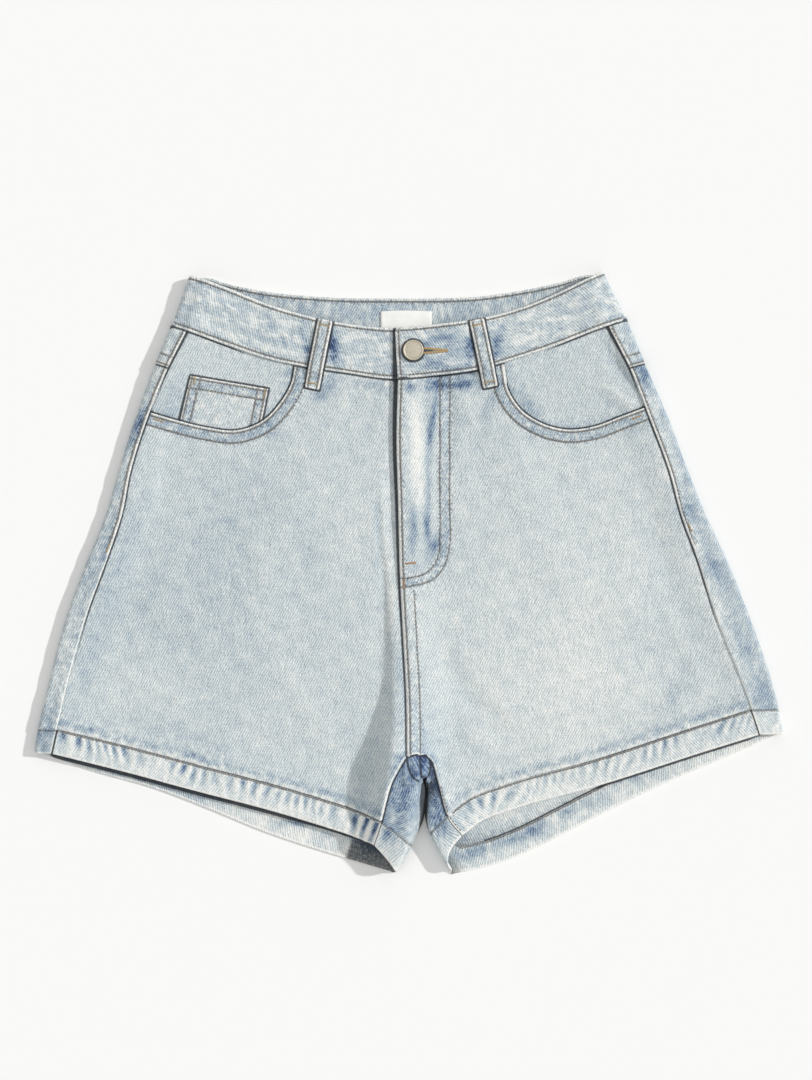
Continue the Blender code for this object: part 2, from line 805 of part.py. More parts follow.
def cut_with(target, bm, name):
    mesh = bpy.data.meshes.new(name)
    bm.to_mesh(mesh)
    bm.free()
    cutter = bpy.data.objects.new(name, mesh)
    cutter.hide_render = True
    cutter.display_type = "WIRE"
    cutters.objects.link(cutter)
    cut = target.modifiers.new(name, "BOOLEAN")
    cut.operation = "DIFFERENCE"
    cut.solver = "EXACT"
    cut.object = cutter


clear_scene()
shorts = collection("denim_shorts")
cutters = collection("cutters")
washed_denim = material("washed_denim", (0.56, 0.65, 0.72), 0.85)
facing_denim = material("facing_denim", (0.60, 0.68, 0.74), 0.85)
hem_denim = material("hem_denim", (0.42, 0.52, 0.64), 0.85)
label_cloth = material("label_cloth", (0.90, 0.90, 0.88), 0.7)
button_metal = material("button_metal", (0.42, 0.40, 0.34), 0.4, 1.0)

for side in (RIGHT, LEFT):
    name = side["name"]
    mirrored = side["sign"] > 0
    cloth(f"front_{name}", front_sheet(side), DENIM, washed_denim, flip=not mirrored)
    cloth(f"pocket_facing_{name}", facing_sheet(side), DENIM, facing_denim, flip=not mirrored)
    cloth(f"back_{name}", back_sheet(side), DENIM, washed_denim, flip=not mirrored)
    cloth(f"yoke_{name}", yoke_sheet(side), DENIM, washed_denim, flip=not mirrored)
    cloth(f"hem_{name}", hem_sheet(side), HEM_THICK, hem_denim, True, not mirrored)
band = cloth("waistband", band_sheet(), BAND_THICK, washed_denim)
buttonhole(band)
cloth("coin_pocket", coin_sheet(), COIN_THICK, facing_denim)
cloth("belt_loop_right", loop_sheet((-67.6, 206.0), (-78.7, 150.1)), LOOP_THICK, washed_denim)
cloth("belt_loop_left", loop_sheet((55.1, 206.0), (66.7, 151.3)), LOOP_THICK, washed_denim)
cloth("waist_label", label_sheet(), LABEL_THICK, label_cloth, flip=True)
button(button_metal)
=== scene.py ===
# %% [markdown]
# # Denim shorts, laid flat with the front up
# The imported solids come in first, as a fixed frame. Everything after that is cloth, thread and
# metal built around them: each sewn piece becomes a thin sheet with real edges, folds and stitches.
# All sizes are millimetres in the garment's own plan and become metres where a mesh is made.

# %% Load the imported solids
import math

import bpy
import numpy as np
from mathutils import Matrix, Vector
from mathutils.bvhtree import BVHTree


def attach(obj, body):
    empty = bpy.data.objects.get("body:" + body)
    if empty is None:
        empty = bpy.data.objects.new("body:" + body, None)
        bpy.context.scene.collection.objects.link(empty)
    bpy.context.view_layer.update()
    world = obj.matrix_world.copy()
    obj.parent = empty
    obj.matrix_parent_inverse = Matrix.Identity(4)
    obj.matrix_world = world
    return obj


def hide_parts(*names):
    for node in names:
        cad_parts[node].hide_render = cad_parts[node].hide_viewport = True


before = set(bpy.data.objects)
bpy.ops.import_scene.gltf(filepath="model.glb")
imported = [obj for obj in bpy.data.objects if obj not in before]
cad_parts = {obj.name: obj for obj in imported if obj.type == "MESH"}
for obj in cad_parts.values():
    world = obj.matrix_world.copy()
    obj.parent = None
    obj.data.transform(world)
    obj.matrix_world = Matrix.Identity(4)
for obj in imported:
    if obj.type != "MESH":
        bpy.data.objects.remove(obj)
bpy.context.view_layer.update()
MM = 0.001
MIDDLE_X = 0.25
MIDDLE_Y = -0.25

# %% [markdown]
# ## The pattern
# A pattern cutter works from a few measured lines. These tables are the same ones that shape the
# solids, so each sheet lies where its solid is. A smooth curve is drawn through each column.

# %% Pattern tables
# y, right fold x, right side seam x, left side seam x, left fold x
OUTLINE = (
    (246, -178.2, -164.5, 145.5, 158.7),
    (202, -193, -177.4, 161, 179.5),
    (166, -208.5, -196, 180, 194.8),
    (130, -222, -211, 194.5, 210.8),
    (84, -236.7, -226, 211.8, 228),
    (47, -247.5, -233.5, 222, 243),
    (10, -262.5, -246, 235.6, 260.2),
    (-34, -279, -262, 249.8, 278),
    (-87, -293.3, -277, 270.5, 296),
    (-130, -303, -287, 285.5, 306),
    (-148, -306, -291, 291, 309),
)
# x, front seam y, front top y, back top y
WAIST = (
    (-190, 200.5, 246, 245.5),
    (-179, 196.8, 243, 242.7),
    (-150, 186.2, 233, 233.8),
    (-113, 173.9, 218.4, 226.3),
    (-83, 167.6, 209.6, 223.3),
    (-53, 163.2, 203.4, 221.6),
    (-12, 158, 199.6, 221.3),
    (19, 160.3, 201.8, 221.3),
    (57, 165.6, 207.2, 222.8),
    (85, 173.8, 214, 226.6),
    (122, 186.1, 228.4, 234),
    (150, 197, 242, 242.4),
    (176, 206, 253, 250),
)
# Edge of the left front at the fly and centre seam. y, x
CENTRE = ((160, -8.6), (109, -9.9), (59, -8.6), (0, -7.2), (-50, -4.7), (-100, -2.1), (-147.5, -1.5))
# Pocket mouths from the waist seam to the side seam. x, y
MOUTH_RIGHT = (
    (-92.6, 169.6), (-95.5, 155), (-104, 140), (-120, 123.8), (-140, 116.6), (-165, 119),
    (-190, 125), (-210.8, 131),
)
MOUTH_LEFT = (
    (76.7, 171.2), (81.6, 148), (92.3, 132.8), (108, 122.6), (129, 117.2), (151, 119.7),
    (172.6, 127.6), (192.3, 135),
)
# Front hem edges from the inseam to the side seam. x, y
HEM_RIGHT = (
    (-28.3, -219.8), (-59.5, -209.4), (-110, -194), (-172.6, -177.6), (-232.5, -161.5),
    (-290.6, -147),
)
HEM_LEFT = (
    (43.9, -213.2), (60, -201.5), (84, -192.6), (154.6, -173), (239, -146), (286, -131.4),
)
# The back's turn round the inner leg, from the crotch to the hem edge.
# seam x, seam y, fold x, fold y, bow towards the gap, slip of the underside down the leg
INNER_RIGHT = (
    (-1.5, -147.5, 10.5, -165.5, 0, 0),
    (-8, -158, 10.2, -172.5, 0, 0),
    (-14, -170, 9.2, -182, 0, 0),
    (-18.5, -186, 6.6, -201, 0, 0),
    (-22, -200.3, 3, -220, 1, 5),
    (-28.3, -219.8, -9.4, -243, 1, 7),
)
INNER_LEFT = (
    (-1.5, -147.5, 10.5, -165.5, 0, 0),
    (9, -146.8, 13.8, -166.5, 0, 0),
    (18.5, -152.5, 15.6, -173, 0, 0),
    (24.5, -172, 14.8, -187, 0, 0),
    (31.6, -197, 16.8, -211.5, 1, 4),
    (43.9, -213.2, 34, -243, 6, 7.5),
)
# Sag of the back hem. share from the inner leg, right leg, left leg
HEM_SAG = (
    (0, 0, 0),
    (0.12, 1.4, 6.8),
    (0.25, 2.6, 8.2),
    (0.36, 2.4, 5.8),
    (0.5, -0.6, 2.8),
    (0.68, -2.8, 0.4),
    (0.85, 0, 0.8),
    (1, 0, 0),
)
# The ridge that the closed crotch pushes up. y, x of its crest, height, reach right, reach left
RIDGE = (
    (60, -9, 0, 10, 30),
    (0, -10, 1.4, 8, 35),
    (-50, -11, 4.2, 9, 42),
    (-95, -11, 8, 12, 50),
    (-125, -11.5, 14.5, 20, 52),
    (-155, -14.5, 21.5, 31, 46),
    (-185, -20, 20, 30, 52),
    (-205, -22.5, 14.5, 28, 64),
    (-245, -28, 9, 30, 74),
)
# Soft folds. x, y of the middle, bearing in degrees, half length, half width, height
FOLDS = (
    (-20, 15, 87, 70, 7, -1.3),
    (172, 166, 118, 30, 7, -1.9),
    (186, 158, 118, 26, 6, 1.4),
    (18, 132, 92, 26, 6, 1.3),
    (32, 126, 96, 30, 5, -1),
    (-150, -40, 32, 70, 20, 1.4),
    (-190, -75, 24, 60, 16, -1.1),
    (-95, 60, 64, 60, 18, 1.2),
    (-205, 50, 74, 60, 10, -1.1),
    (140, -10, 148, 75, 22, 1.4),
    (195, -60, 158, 60, 17, -1.1),
    (95, 70, 112, 60, 18, 1.1),
    (60, -110, 128, 50, 13, -1.3),
    (205, 25, 106, 60, 10, -1),
    (28, -190, 122, 34, 20, 4.2),
)
RIGHT = {
    "name": "right",
    "sign": -1,
    "fold_column": 1,
    "seam_column": 2,
    "mouth": MOUTH_RIGHT,
    "hem": HEM_RIGHT,
    "inner": INNER_RIGHT,
    "band_fold": ((-193.1, 201.5), (-179.0, 242.7)),
    "band_seam": (-179.2, -165.5),
    "stitch_level": -127.5,
    "edge_level": -147.0,
    "saddle_level": -82.0,
    "sag_column": 1,
}
LEFT = {
    "name": "left",
    "sign": 1,
    "fold_column": 4,
    "seam_column": 3,
    "mouth": MOUTH_LEFT,
    "hem": HEM_LEFT,
    "inner": INNER_LEFT,
    "band_fold": ((177.4, 206.2), (158.7, 246.0)),
    "band_seam": (161.0, 145.5),
    "stitch_level": -111.0,
    "edge_level": -131.4,
    "saddle_level": -72.0,
    "sag_column": 2,
}
SIDES = (RIGHT, LEFT)
print("pattern:", len(OUTLINE), "outline rows,", len(WAIST), "waist rows")

# %% Lay and make-up sizes
# How high the front lies: in the middle, at the waist, at the sides, and lifted at the hem.
MIDDLE_HEIGHT, WAIST_HEIGHT = 6.4, 10.4
SIDE_HEIGHT, WAIST_SIDE_HEIGHT, SIDE_REACH = 10.0, 12.6, 28.0
HEM_LIFT = 3.4
# Half a side fold's height as a share of the front's, the most it is as a share of its width,
# the first share for an inner leg, and how far the inner leg's foot closes the gap.
FOLD_SHARE, ROUND_SHARE, INNER_TALL, GAP_FOOT = 0.43, 0.62, 0.49, 2.8
# The waistband, its two ends in x, and how far it stands over the fronts and over itself.
BAND_WIDTH, BAND_UNDER_END, BAND_OVER_END = 41.5, 24.0, -9.0
BAND_PROUD, BAND_LAP_STEP = 1.2, 3.7
HEM_WIDTH = 20.5
# How far the right front runs on under the left one, and a facing behind its pocket mouth.
LAP, UNDERLAP = 7.0, 8.0
# How far the left front stands over the right one. y, rise
LAP_RISE = ((-150, 0.0), (-125, 0.8), (-50, 1.5), (20, 2.4), (80, 3.6), (165, 4.6))
LOOP_WIDTH = 12.0
LOOPS = {"right": ((-67.6, 206.0), (-78.7, 150.1)), "left": ((55.1, 206.0), (66.7, 151.3))}
BUTTON_PLACE, BUTTON_RADIUS = (3.7, 180.8), 8.5
BUTTONHOLE_END, BUTTONHOLE_DROP = 30.0, 0.2
LABEL_HALF_WIDTH, LABEL_MIDDLE = 21.0, -2.0
# The yoke seam and the centre back seam's top.
CENTRE_BACK_TOP, YOKE_SIDE, YOKE_CENTRE, YOKE_DIP = -5.0, 171.0, 118.0, 6.0
# How much lower a side seam lies than the fold beside it, near the waist.
SEAM_DROP = 4.7
# Rows of the inner leg's tables at the hem's stitches and at its edge.
STITCH_ROW, EDGE_ROW = 4, 5
# A sheet's thickness, what is tucked under a neighbour, and the distance between its points.
SHEET, TUCK, CELL = 1.0, 3.0, 1.8
print("the front lies", MIDDLE_HEIGHT, "to", WAIST_SIDE_HEIGHT, "mm up, the band is", BAND_WIDTH, "wide")

# %% [markdown]
# ## Reading a table smoothly
# A cubic curve through the rows gives a value at any place, as a draughtsman's spline does. `rail`
# walks along a curve by its length, and `beside` moves a line sideways, as for a seam allowance.


# %% Curve helpers
def slopes(at, values):
    """Tangents for a smooth curve through the values."""
    steps = np.diff(at)[:, None]
    rates = np.diff(values, axis=0) / steps
    inner = (rates[:-1] * steps[1:] + rates[1:] * steps[:-1]) / (steps[:-1] + steps[1:])
    return np.vstack([rates[:1], inner, rates[-1:]])


def smooth_read(at, values, places):
    """Values at the places, on the smooth curve through the given values."""
    at, values = np.asarray(at, float), np.asarray(values, float)
    tangents = slopes(at, values)
    places = np.clip(places, at[0], at[-1])
    k = np.clip(np.searchsorted(at, places, side="right") - 1, 0, len(at) - 2)
    step = (at[k + 1] - at[k])[:, None]
    t = (places[:, None] - at[k][:, None]) / step
    return (
        values[k] * (1 + 2 * t) * (1 - t) ** 2
        + tangents[k] * step * t * (1 - t) ** 2
        + values[k + 1] * (3 - 2 * t) * t**2
        + tangents[k + 1] * step * (t - 1) * t**2
    )


def column(table, number, places):
    """One column of a table, read smoothly at places in its first column."""
    rows = np.array(sorted(table), float)
    places = np.asarray(places, float)
    read = smooth_read(rows[:, 0], rows[:, number : number + 1], places.ravel())
    return read[:, 0].reshape(places.shape)


def walked(points):
    """How far it is along a line to each of its points."""
    return np.concatenate([[0], np.cumsum(np.linalg.norm(np.diff(points, axis=0), axis=1))])


def at_lengths(points, lengths, wanted):
    """Points of a line at the wanted lengths along it."""
    return np.stack([np.interp(wanted, lengths, points[:, k]) for k in range(points.shape[1])], axis=1)


def rail(points, shares):
    """Points at shares of the length of a smooth curve through the given points."""
    points = np.asarray(points, float)
    chords = walked(points)
    fine = smooth_read(chords, points, np.linspace(0, chords[-1], 600))
    lengths = walked(fine)
    return at_lengths(fine, lengths, np.asarray(shares) * lengths[-1])


def beside(points, distance):
    """A plan curve moved sideways, to the left of its run when the distance is positive."""
    run = np.gradient(points, axis=0)
    run /= np.linalg.norm(run, axis=1)[:, None]
    return points + distance * np.stack([-run[:, 1], run[:, 0]], axis=1)


def run_on(points, before, after):
    """A plan curve made longer at its two ends."""
    points = np.asarray(points, float)
    first = points[0] + (points[0] - points[1]) * before / np.linalg.norm(points[0] - points[1])
    last = points[-1] + (points[-1] - points[-2]) * after / np.linalg.norm(points[-1] - points[-2])
    return np.vstack([first, points, last])


def ramp(value, low, high):
    """0 below low, 1 above high and a smooth rise between."""
    t = np.clip((np.asarray(value, float) - low) / (high - low), 0, 1)
    return t * t * (3 - 2 * t)


def bell(distance, width):
    """1 at no distance, falling smoothly to about a third at the width."""
    return np.exp(-((distance / width) ** 2))


def reach(points, line):
    """How far each point is in plan from a line of points, in mm."""
    flat = points[..., :2].reshape(-1, 2)
    best = np.full(len(flat), 1e9)
    for start, step in zip(line[:-1], np.diff(line, axis=0)):
        t = np.clip(((flat - start) @ step) / (step @ step), 0, 1)
        best = np.minimum(best, np.linalg.norm(flat - start - t[:, None] * step, axis=1))
    return best.reshape(points.shape[:-1])


EDGE_STEPS = np.array([0, 0.35, 0.8, 1.4])


def stations(length, cell, first=True, last=True):
    """Shares of a length, a cell apart and closer together towards a finished edge."""
    start, end = EDGE_STEPS[-1] * first, length - EDGE_STEPS[-1] * last
    parts = [EDGE_STEPS[:-1]] if first else []
    parts.append(np.linspace(start, end, max(2, round((end - start) / cell) + 1)))
    if last:
        parts.append(length - EDGE_STEPS[:-1][::-1])
    return np.concatenate(parts) / length


def fold_x(side, y):
    return column(OUTLINE, side["fold_column"], y)


def seam_x(side, y):
    return column(OUTLINE, side["seam_column"], y)


def centre_x(y):
    return column(CENTRE, 1, y)


def waist_seam_y(x):
    return column(WAIST, 1, x)


def front_top_y(x):
    return column(WAIST, 2, x)


def back_top_y(x):
    return column(WAIST, 3, x)


print("the back waist stands", round(float(back_top_y(0) - front_top_y(0)), 1), "mm over the front's")


# %% [markdown]
# ## How high the cloth lies
# A garment laid flat isn't flat: it stands higher along its side folds, and the closed crotch pushes
# up a ridge. Large forms come from the tables above. Small creases are drawn as lines in
# plan, each with its own height and width, because worn denim keeps them in the same places.

# %% Creases drawn one by one
# points in plan, height, width to the left of the run, width to the right
CREASES = (
    (((-25.8, 84), (-22.6, 59), (-20.1, 21), (-16.8, -16), (-15.2, -60)), 1.8, 5, 1.8),
    (((-33, 60), (-28, 20), (-25, -20)), 0.5, 5, 4),
    (((159.5, 191), (166, 176), (178, 160), (190, 143)), -1, 2.5, 5),
    (((168, 186), (180, 168), (193, 151)), 0.7, 3, 3),
    (((16, 155), (15, 135), (17, 112), (18, 90)), -0.7, 2, 3),
    (((24, 150), (25, 130), (27, 110)), 0.5, 2.5, 2.5),
    (((34, 152), (36, 132), (40, 118)), -0.5, 2.5, 3),
    (((46, 150), (50, 130), (57, 112)), 0.35, 3, 4),
    (((-24, 152), (-30, 130), (-34, 105)), -0.4, 3, 4),
    (((-48, 155), (-56, 130), (-60, 100)), 0.35, 4, 5),
    (((-200, 118), (-206, 90), (-212, 60)), 0.4, 5, 4),
    (((-232, -20), (-205, -45), (-170, -62)), -0.5, 5, 7),
    (((-250, -70), (-215, -92), (-175, -105)), 0.45, 6, 6),
    (((-120, -60), (-90, -95), (-66, -140)), 0.4, 7, 7),
    (((-62, -95), (-48, -130), (-40, -168)), -0.5, 5, 6),
    (((40, -60), (62, -95), (92, -125)), 0.5, 7, 6),
    (((22, -40), (34, -80), (58, -118)), -0.5, 5, 6),
    (((30, -120), (48, -140), (80, -156)), -0.5, 4, 6),
    (((150, 60), (176, 20), (190, -20)), 0.4, 8, 7),
    (((215, 10), (205, -30), (212, -70)), -0.4, 6, 6),
    (((225, -60), (240, -90), (238, -112)), 0.5, 5, 5),
    (((-140, 60), (-120, 20), (-112, -20)), 0.35, 8, 8),
    (((154, 156), (170, 146), (184, 134)), 0.9, 2.5, 3),
    (((150, 149), (164, 138), (178, 129)), -0.5, 3, 3),
    (((-198, 232), (-170, 212), (-140, 190)), -0.7, 4, 4),
    (((-182, 236), (-150, 218), (-120, 200)), 0.6, 4, 4),
    (((160, 226), (128, 212), (98, 196)), 0.6, 4, 3),
    (((150, 216), (120, 200), (92, 186)), -0.6, 3, 4),
)


def ridge_height(x, y):
    """The crotch ridge: steep towards the right leg, long towards the left leg."""
    crest, height, right_reach, left_reach = (column(RIDGE, k, y) for k in (1, 2, 3, 4))
    off = x - crest
    fall = np.clip((np.sqrt(off**2 + 4) - 2) / right_reach, 0, 1)
    steep = (1 - fall) ** 2 * (1 + 0.5 * fall)
    return height * np.where(off < 0, steep, 1 - ramp(off, 0, left_reach))


def soft_ovals(table, x, y):
    """The sum of a table's soft ovals. x, y of the middle, bearing, half length, half width, amount."""
    total = np.zeros_like(x)
    for middle_x, middle_y, bearing, half_length, half_width, amount in table:
        turn = math.radians(bearing)
        along = (x - middle_x) * math.cos(turn) + (y - middle_y) * math.sin(turn)
        across = (y - middle_y) * math.cos(turn) - (x - middle_x) * math.sin(turn)
        total += amount * np.exp(-((along / half_length) ** 2) - (across / half_width) ** 2)
    return total


def hem_y(x):
    """The front hem edges as one line across."""
    rows = [*HEM_RIGHT[::-1], *HEM_LEFT]
    return np.interp(x, [row[0] for row in rows], [row[1] for row in rows])


def front_height(x, y):
    """Height of the front's outer face above the floor, as the solids have it."""
    waist = ramp(y, 110, 175)
    middle = MIDDLE_HEIGHT + (WAIST_HEIGHT - MIDDLE_HEIGHT) * waist
    middle = middle + HEM_LIFT * (1 - ramp(y - hem_y(x), 5, 55))
    edge = SIDE_HEIGHT + (WAIST_SIDE_HEIGHT - SIDE_HEIGHT) * waist
    to_fold = np.minimum(x - fold_x(RIGHT, y), fold_x(LEFT, y) - x)
    near = bell(np.maximum(to_fold - 8, 0), SIDE_REACH)
    folds = (1 - 0.85 * near) * soft_ovals(FOLDS, x, y)
    return middle + (edge - middle) * near + ridge_height(x, y) + folds


def crease_heights(x, y):
    """The small creases: each rises or sinks beside its line and fades out towards its ends."""
    points = np.stack([x.ravel(), y.ravel()], axis=1)
    total = np.zeros(len(points))
    for path, height, left, right in CREASES:
        line = rail(path, np.linspace(0, 1, 24))
        gaps = points[:, None] - line[None]
        nearest = np.argmin((gaps**2).sum(2), axis=1)
        run = np.gradient(line, axis=0)[nearest]
        gap = gaps[np.arange(len(points)), nearest]
        side = run[:, 0] * gap[:, 1] - run[:, 1] * gap[:, 0]
        width = np.where(side > 0, left, right)
        fade = np.sin(np.pi * (nearest + 0.5) / len(line)) ** 0.7
        total += height * fade * np.exp(-(gap**2).sum(1) / width**2)
    return total.reshape(x.shape)


def uneven(x, y, size, seed):
    """A smooth field between about -1 and 1 whose humps are about this size and never line up."""
    total = 0
    for k in range(7):
        turn = 2.4 * k + 1.7 * seed
        wave = size * (0.7 + 0.11 * k)
        total = total + np.sin((x * math.cos(turn) + y * math.sin(turn)) * 6.283 / wave + 3.1 * k * seed)
    return total / 4.5


def cloth_height(x, y):
    """Height of the front's outer face with its creases."""
    x, y = np.asarray(x, float), np.asarray(y, float)
    soft = 0.22 * uneven(x, y, 46, 1.3) + 0.10 * uneven(x, y, 17, 2.9)
    return front_height(x, y) + crease_heights(x, y) + soft


def lap_share(y):
    """1 where the left front lies over the right one, 0 at the crotch."""
    return ramp(y, -118, -95)


def lap_rise(x, y):
    """How far the left front stands up to clear the right front under it."""
    beyond = x - centre_x(y)
    return column(LAP_RISE, 1, y) * (1 - ramp(beyond, LAP - 2, LAP + 34))


def droop(distance, depth=0.75, width=1.4):
    """How far a finished edge rolls down, with a quarter-round profile."""
    share = np.clip(1 - distance / width, 0, 1)
    return depth * (1 - np.sqrt(1 - share**2))


print("creases:", len(CREASES), "by hand, over", len(FOLDS), "soft folds")

# %% [markdown]
# ## Sections round the folds
# At the side seams the back panel comes round to the front, so its sheet is a row of sections: from
# the seam on the top face, round the fold and along the floor. The inner leg turns up the same way.


# %% Sections
TURN = stations(12, 1.6, last=False)[:-1]
ARC = np.radians(np.linspace(90, -90, 13))
FLOOR = np.linspace(0, 1, 25)
# How many points of a section are above the floor, and with the floor's.
TURNED = len(TURN) + len(ARC)
TO_INNER = TURNED + len(FLOOR)


def turned_under(seam, fold, height, bow=0.0, sign=1, slip=0.0, tall=FOLD_SHARE):
    """Points from a seam on the top face, round the fold and down to the floor."""
    seam, fold = np.asarray(seam, float), np.asarray(fold, float)
    width = np.linalg.norm(seam - fold)
    inward = (seam - fold) / width
    half = min(tall * height, ROUND_SHARE * width)
    radius = half * (2 * FOLD_SHARE / tall - 1)
    off = np.concatenate([width + (radius - width) * TURN, radius * (1 - np.cos(ARC))])
    z = np.concatenate([height + (2 * half - height) * ramp(TURN, 0, 1), half * (1 + np.sin(ARC))])
    plan = fold + off[:, None] * inward
    plan[:, 0] += sign * bow * np.sin(math.pi * np.clip(off / width, 0, 1)) * (z > half)
    plan[:, 1] -= slip * (1 - np.clip(z / half, 0, 1)) ** 2
    return np.column_stack([plan, z])


def outer_section(side, level, rise):
    """The turn from the side seam round the fold to the floor, at one level."""
    level = float(level)
    drop = SEAM_DROP * float(ramp(level, 90, 200))
    seam = np.array([float(seam_x(side, level - drop)), level - drop])
    fold = np.array([float(fold_x(side, level)), level])
    return turned_under(seam, fold, float(cloth_height(*seam)) + rise)


def inner_rows(side, shares):
    """The inner leg's table read smoothly, from 0 at the crotch to 5 at the hem edge."""
    rows = np.array(side["inner"], float)
    return smooth_read(np.arange(len(rows)), rows, np.asarray(shares, float))


def inner_section(side, share, rise):
    """The turn round the inner leg, from the inseam to the floor."""
    row = inner_rows(side, [share])[0]
    height = float(cloth_height(row[0], row[1])) + rise
    section = turned_under(row[:2], row[2:4], height, row[4], -side["sign"], row[5], INNER_TALL)
    out = (row[2:4] - row[:2]) / np.linalg.norm(row[2:4] - row[:2])
    half = section[:, 2].max() / 2
    low = np.where(np.arange(len(section)) < len(TURN) + len(ARC) // 2, 0, 1 - section[:, 2] / half)
    closing = 1 - float(ramp(share, 2.8, 4.4))
    section[:, :2] += np.clip(low, 0, 1)[:, None] ** 1.3 * closing * (half * 0.78 + GAP_FOOT) * out
    return section


def hem_sag(side):
    """The back hem's sag at each floor point from the side to the inner leg."""
    return column(HEM_SAG, side["sag_column"], 1 - FLOOR[1:-1])


def yoke_dip():
    """The yoke seam's dip at each floor point from the side to the centre back."""
    return YOKE_DIP * 4 * FLOOR[1:-1] * (1 - FLOOR[1:-1])


def across_floor(first, last, sag):
    """Floor points between two floor points, without the two themselves."""
    plan = first[:2] + (last[:2] - first[:2]) * FLOOR[1:-1, None]
    plan[:, 1] -= sag
    return np.column_stack([plan, np.zeros(len(plan))])


def back_row(side, level, inner, sag, rise):
    """A row of the back from the side seam, under, to the centre back or up to the inseam."""
    outer = outer_section(side, level, rise)
    last = inner[::-1]
    return np.vstack([outer, across_floor(outer[-1], last[0], sag), last])


def back_hem_row(side, share, rise):
    """A row of the back's hem: share 0 is its stitch line, a hem's width from its edge at 1."""
    edge = back_row(side, side["edge_level"], inner_section(side, EDGE_ROW, rise), hem_sag(side), rise)
    level = side["stitch_level"] + (side["edge_level"] - side["stitch_level"]) * share
    row = back_row(side, level, inner_section(side, STITCH_ROW + share, rise), 0, rise)
    first = TURNED - 1
    last = first + len(FLOOR) - 1
    moved = beside(edge[first : last + 1, :2], -side["sign"] * HEM_WIDTH * (1 - share))
    row[first + 1 : last, :2] = moved[1:-1]
    return row


def centre_back(side, y):
    """A point of the centre back seam on the floor."""
    low = inner_section(side, 0, 0)[-1]
    x = CENTRE_BACK_TOP + (low[0] - CENTRE_BACK_TOP) * (180 - y) / (180 - low[1])
    return np.array([[x, y, 0.0]])


def hem_lines(side, shares):
    """The front hem's stitch line and edge, each from the inseam to the side seam."""
    edge = rail(side["hem"], shares)
    stitch = beside(edge, side["sign"] * HEM_WIDTH)
    lines = []
    for line, row, level in ((stitch, STITCH_ROW, "stitch_level"), (edge, EDGE_ROW, "edge_level")):
        first = np.array(side["inner"][row][:2])
        last = np.array([float(seam_x(side, side[level])), side[level]])
        off = (1 - shares)[:, None] ** 4 * (first - line[0]) + shares[:, None] ** 4 * (last - line[-1])
        lines.append(line + off)
    return lines


def coons(top, bottom, first, last, u, v):
    """A patch between four plan curves, as rows from top to bottom."""
    u, v = u[None, :, None], v[:, None, None]
    across = (1 - v) * top[None] + v * bottom[None]
    down = (1 - u) * first[:, None] + u * last[:, None]
    corners = (1 - u) * ((1 - v) * top[0] + v * bottom[0]) + u * ((1 - v) * top[-1] + v * bottom[-1])
    return across + down - corners


print("points of a turn:", TURNED, "and across the floor:", len(FLOOR))

# %% [markdown]
# ## Sheets
# Each piece of cloth is one mesh: rows of points on its outer face, with a Solidify modifier for
# its thickness and a second material on the wrong side. Beside the shape, every point carries named
# attributes that the materials read: how far it is from a worn edge, from a dark seam line or a line
# of painted shade and from a row of stitches, and how blue the cloth stayed there, with painted shade
# added to that in some places.

# %% Make a sheet of cloth
shorts = bpy.data.collections.new("denim_shorts")
bpy.context.scene.collection.children.link(shorts)
FAR = 99.0
MARKS = ("worn", "groove", "row", "wash", "busy")
surfaces, sheets = {}, {}


def placed(points):
    """Plan points in mm as metres in the frame."""
    return (np.asarray(points, float) - [MIDDLE_X, MIDDLE_Y, 0]) * MM


def faces_of(lengths, closed=False, flip=False):
    """Quads between rows of points. A row may be longer than the one above it."""
    starts = np.concatenate([[0], np.cumsum(lengths)])
    quads = []
    for k in range(len(lengths) - 1):
        count = min(lengths[k], lengths[k + 1])
        i = np.arange(count if closed else count - 1)
        j = (i + 1) % count
        upper, lower = starts[k], starts[k + 1]
        quads.append(np.stack([upper + i, lower + i, lower + j, upper + j], axis=1))
    quads = np.concatenate(quads)
    return quads[:, ::-1] if flip else quads


def mesh_of(name, points, faces):
    """A smooth-shaded mesh from plan points and faces."""
    mesh = bpy.data.meshes.new(name)
    mesh.from_pydata(placed(points).tolist(), [], faces.tolist())
    mesh.shade_smooth()
    return mesh


def cloth(name, rows, weave, marks, outside, inside, thick=SHEET, closed=False, flip=False, relief=None):
    """One sheet of cloth: its rows, where each point lies in the weave, and its marks."""
    points = np.concatenate([np.asarray(row, float) for row in rows])
    faces = faces_of([len(row) for row in rows], closed, flip)
    mesh = mesh_of(name, points, faces)
    if relief is not None:
        normals = np.zeros(len(points) * 3)
        mesh.vertices.foreach_get("normal", normals)
        points = points + normals.reshape(-1, 3) * np.concatenate(relief)[:, None]
        bpy.data.meshes.remove(mesh)
        mesh = mesh_of(name, points, faces)
    surfaces[name] = BVHTree.FromPolygons(placed(points).tolist(), faces.tolist())
    layer = mesh.uv_layers.new(name="weave")
    laid = np.concatenate([np.asarray(row, float) for row in weave]) * MM
    corners = np.zeros(len(mesh.loops), np.int32)
    mesh.loops.foreach_get("vertex_index", corners)
    layer.data.foreach_set("uv", laid[corners].ravel())
    for mark in MARKS:
        values = marks.get(mark, 0.0 if mark in ("wash", "busy") else FAR)
        values = np.full(len(points), values) if np.isscalar(values) else np.concatenate(list(values))
        mesh.attributes.new(mark, "FLOAT", "POINT").data.foreach_set("value", values.astype(np.float32))
    mesh.materials.append(outside)
    mesh.materials.append(inside)
    made = bpy.data.objects.new(name, mesh)
    shorts.objects.link(made)
    wall = made.modifiers.new("wall", "SOLIDIFY")
    wall.thickness = thick * MM
    wall.offset = -1
    wall.material_offset = 1
    sheets[name] = (made, rows)
    print(f"{name}: {len(faces)} quads")


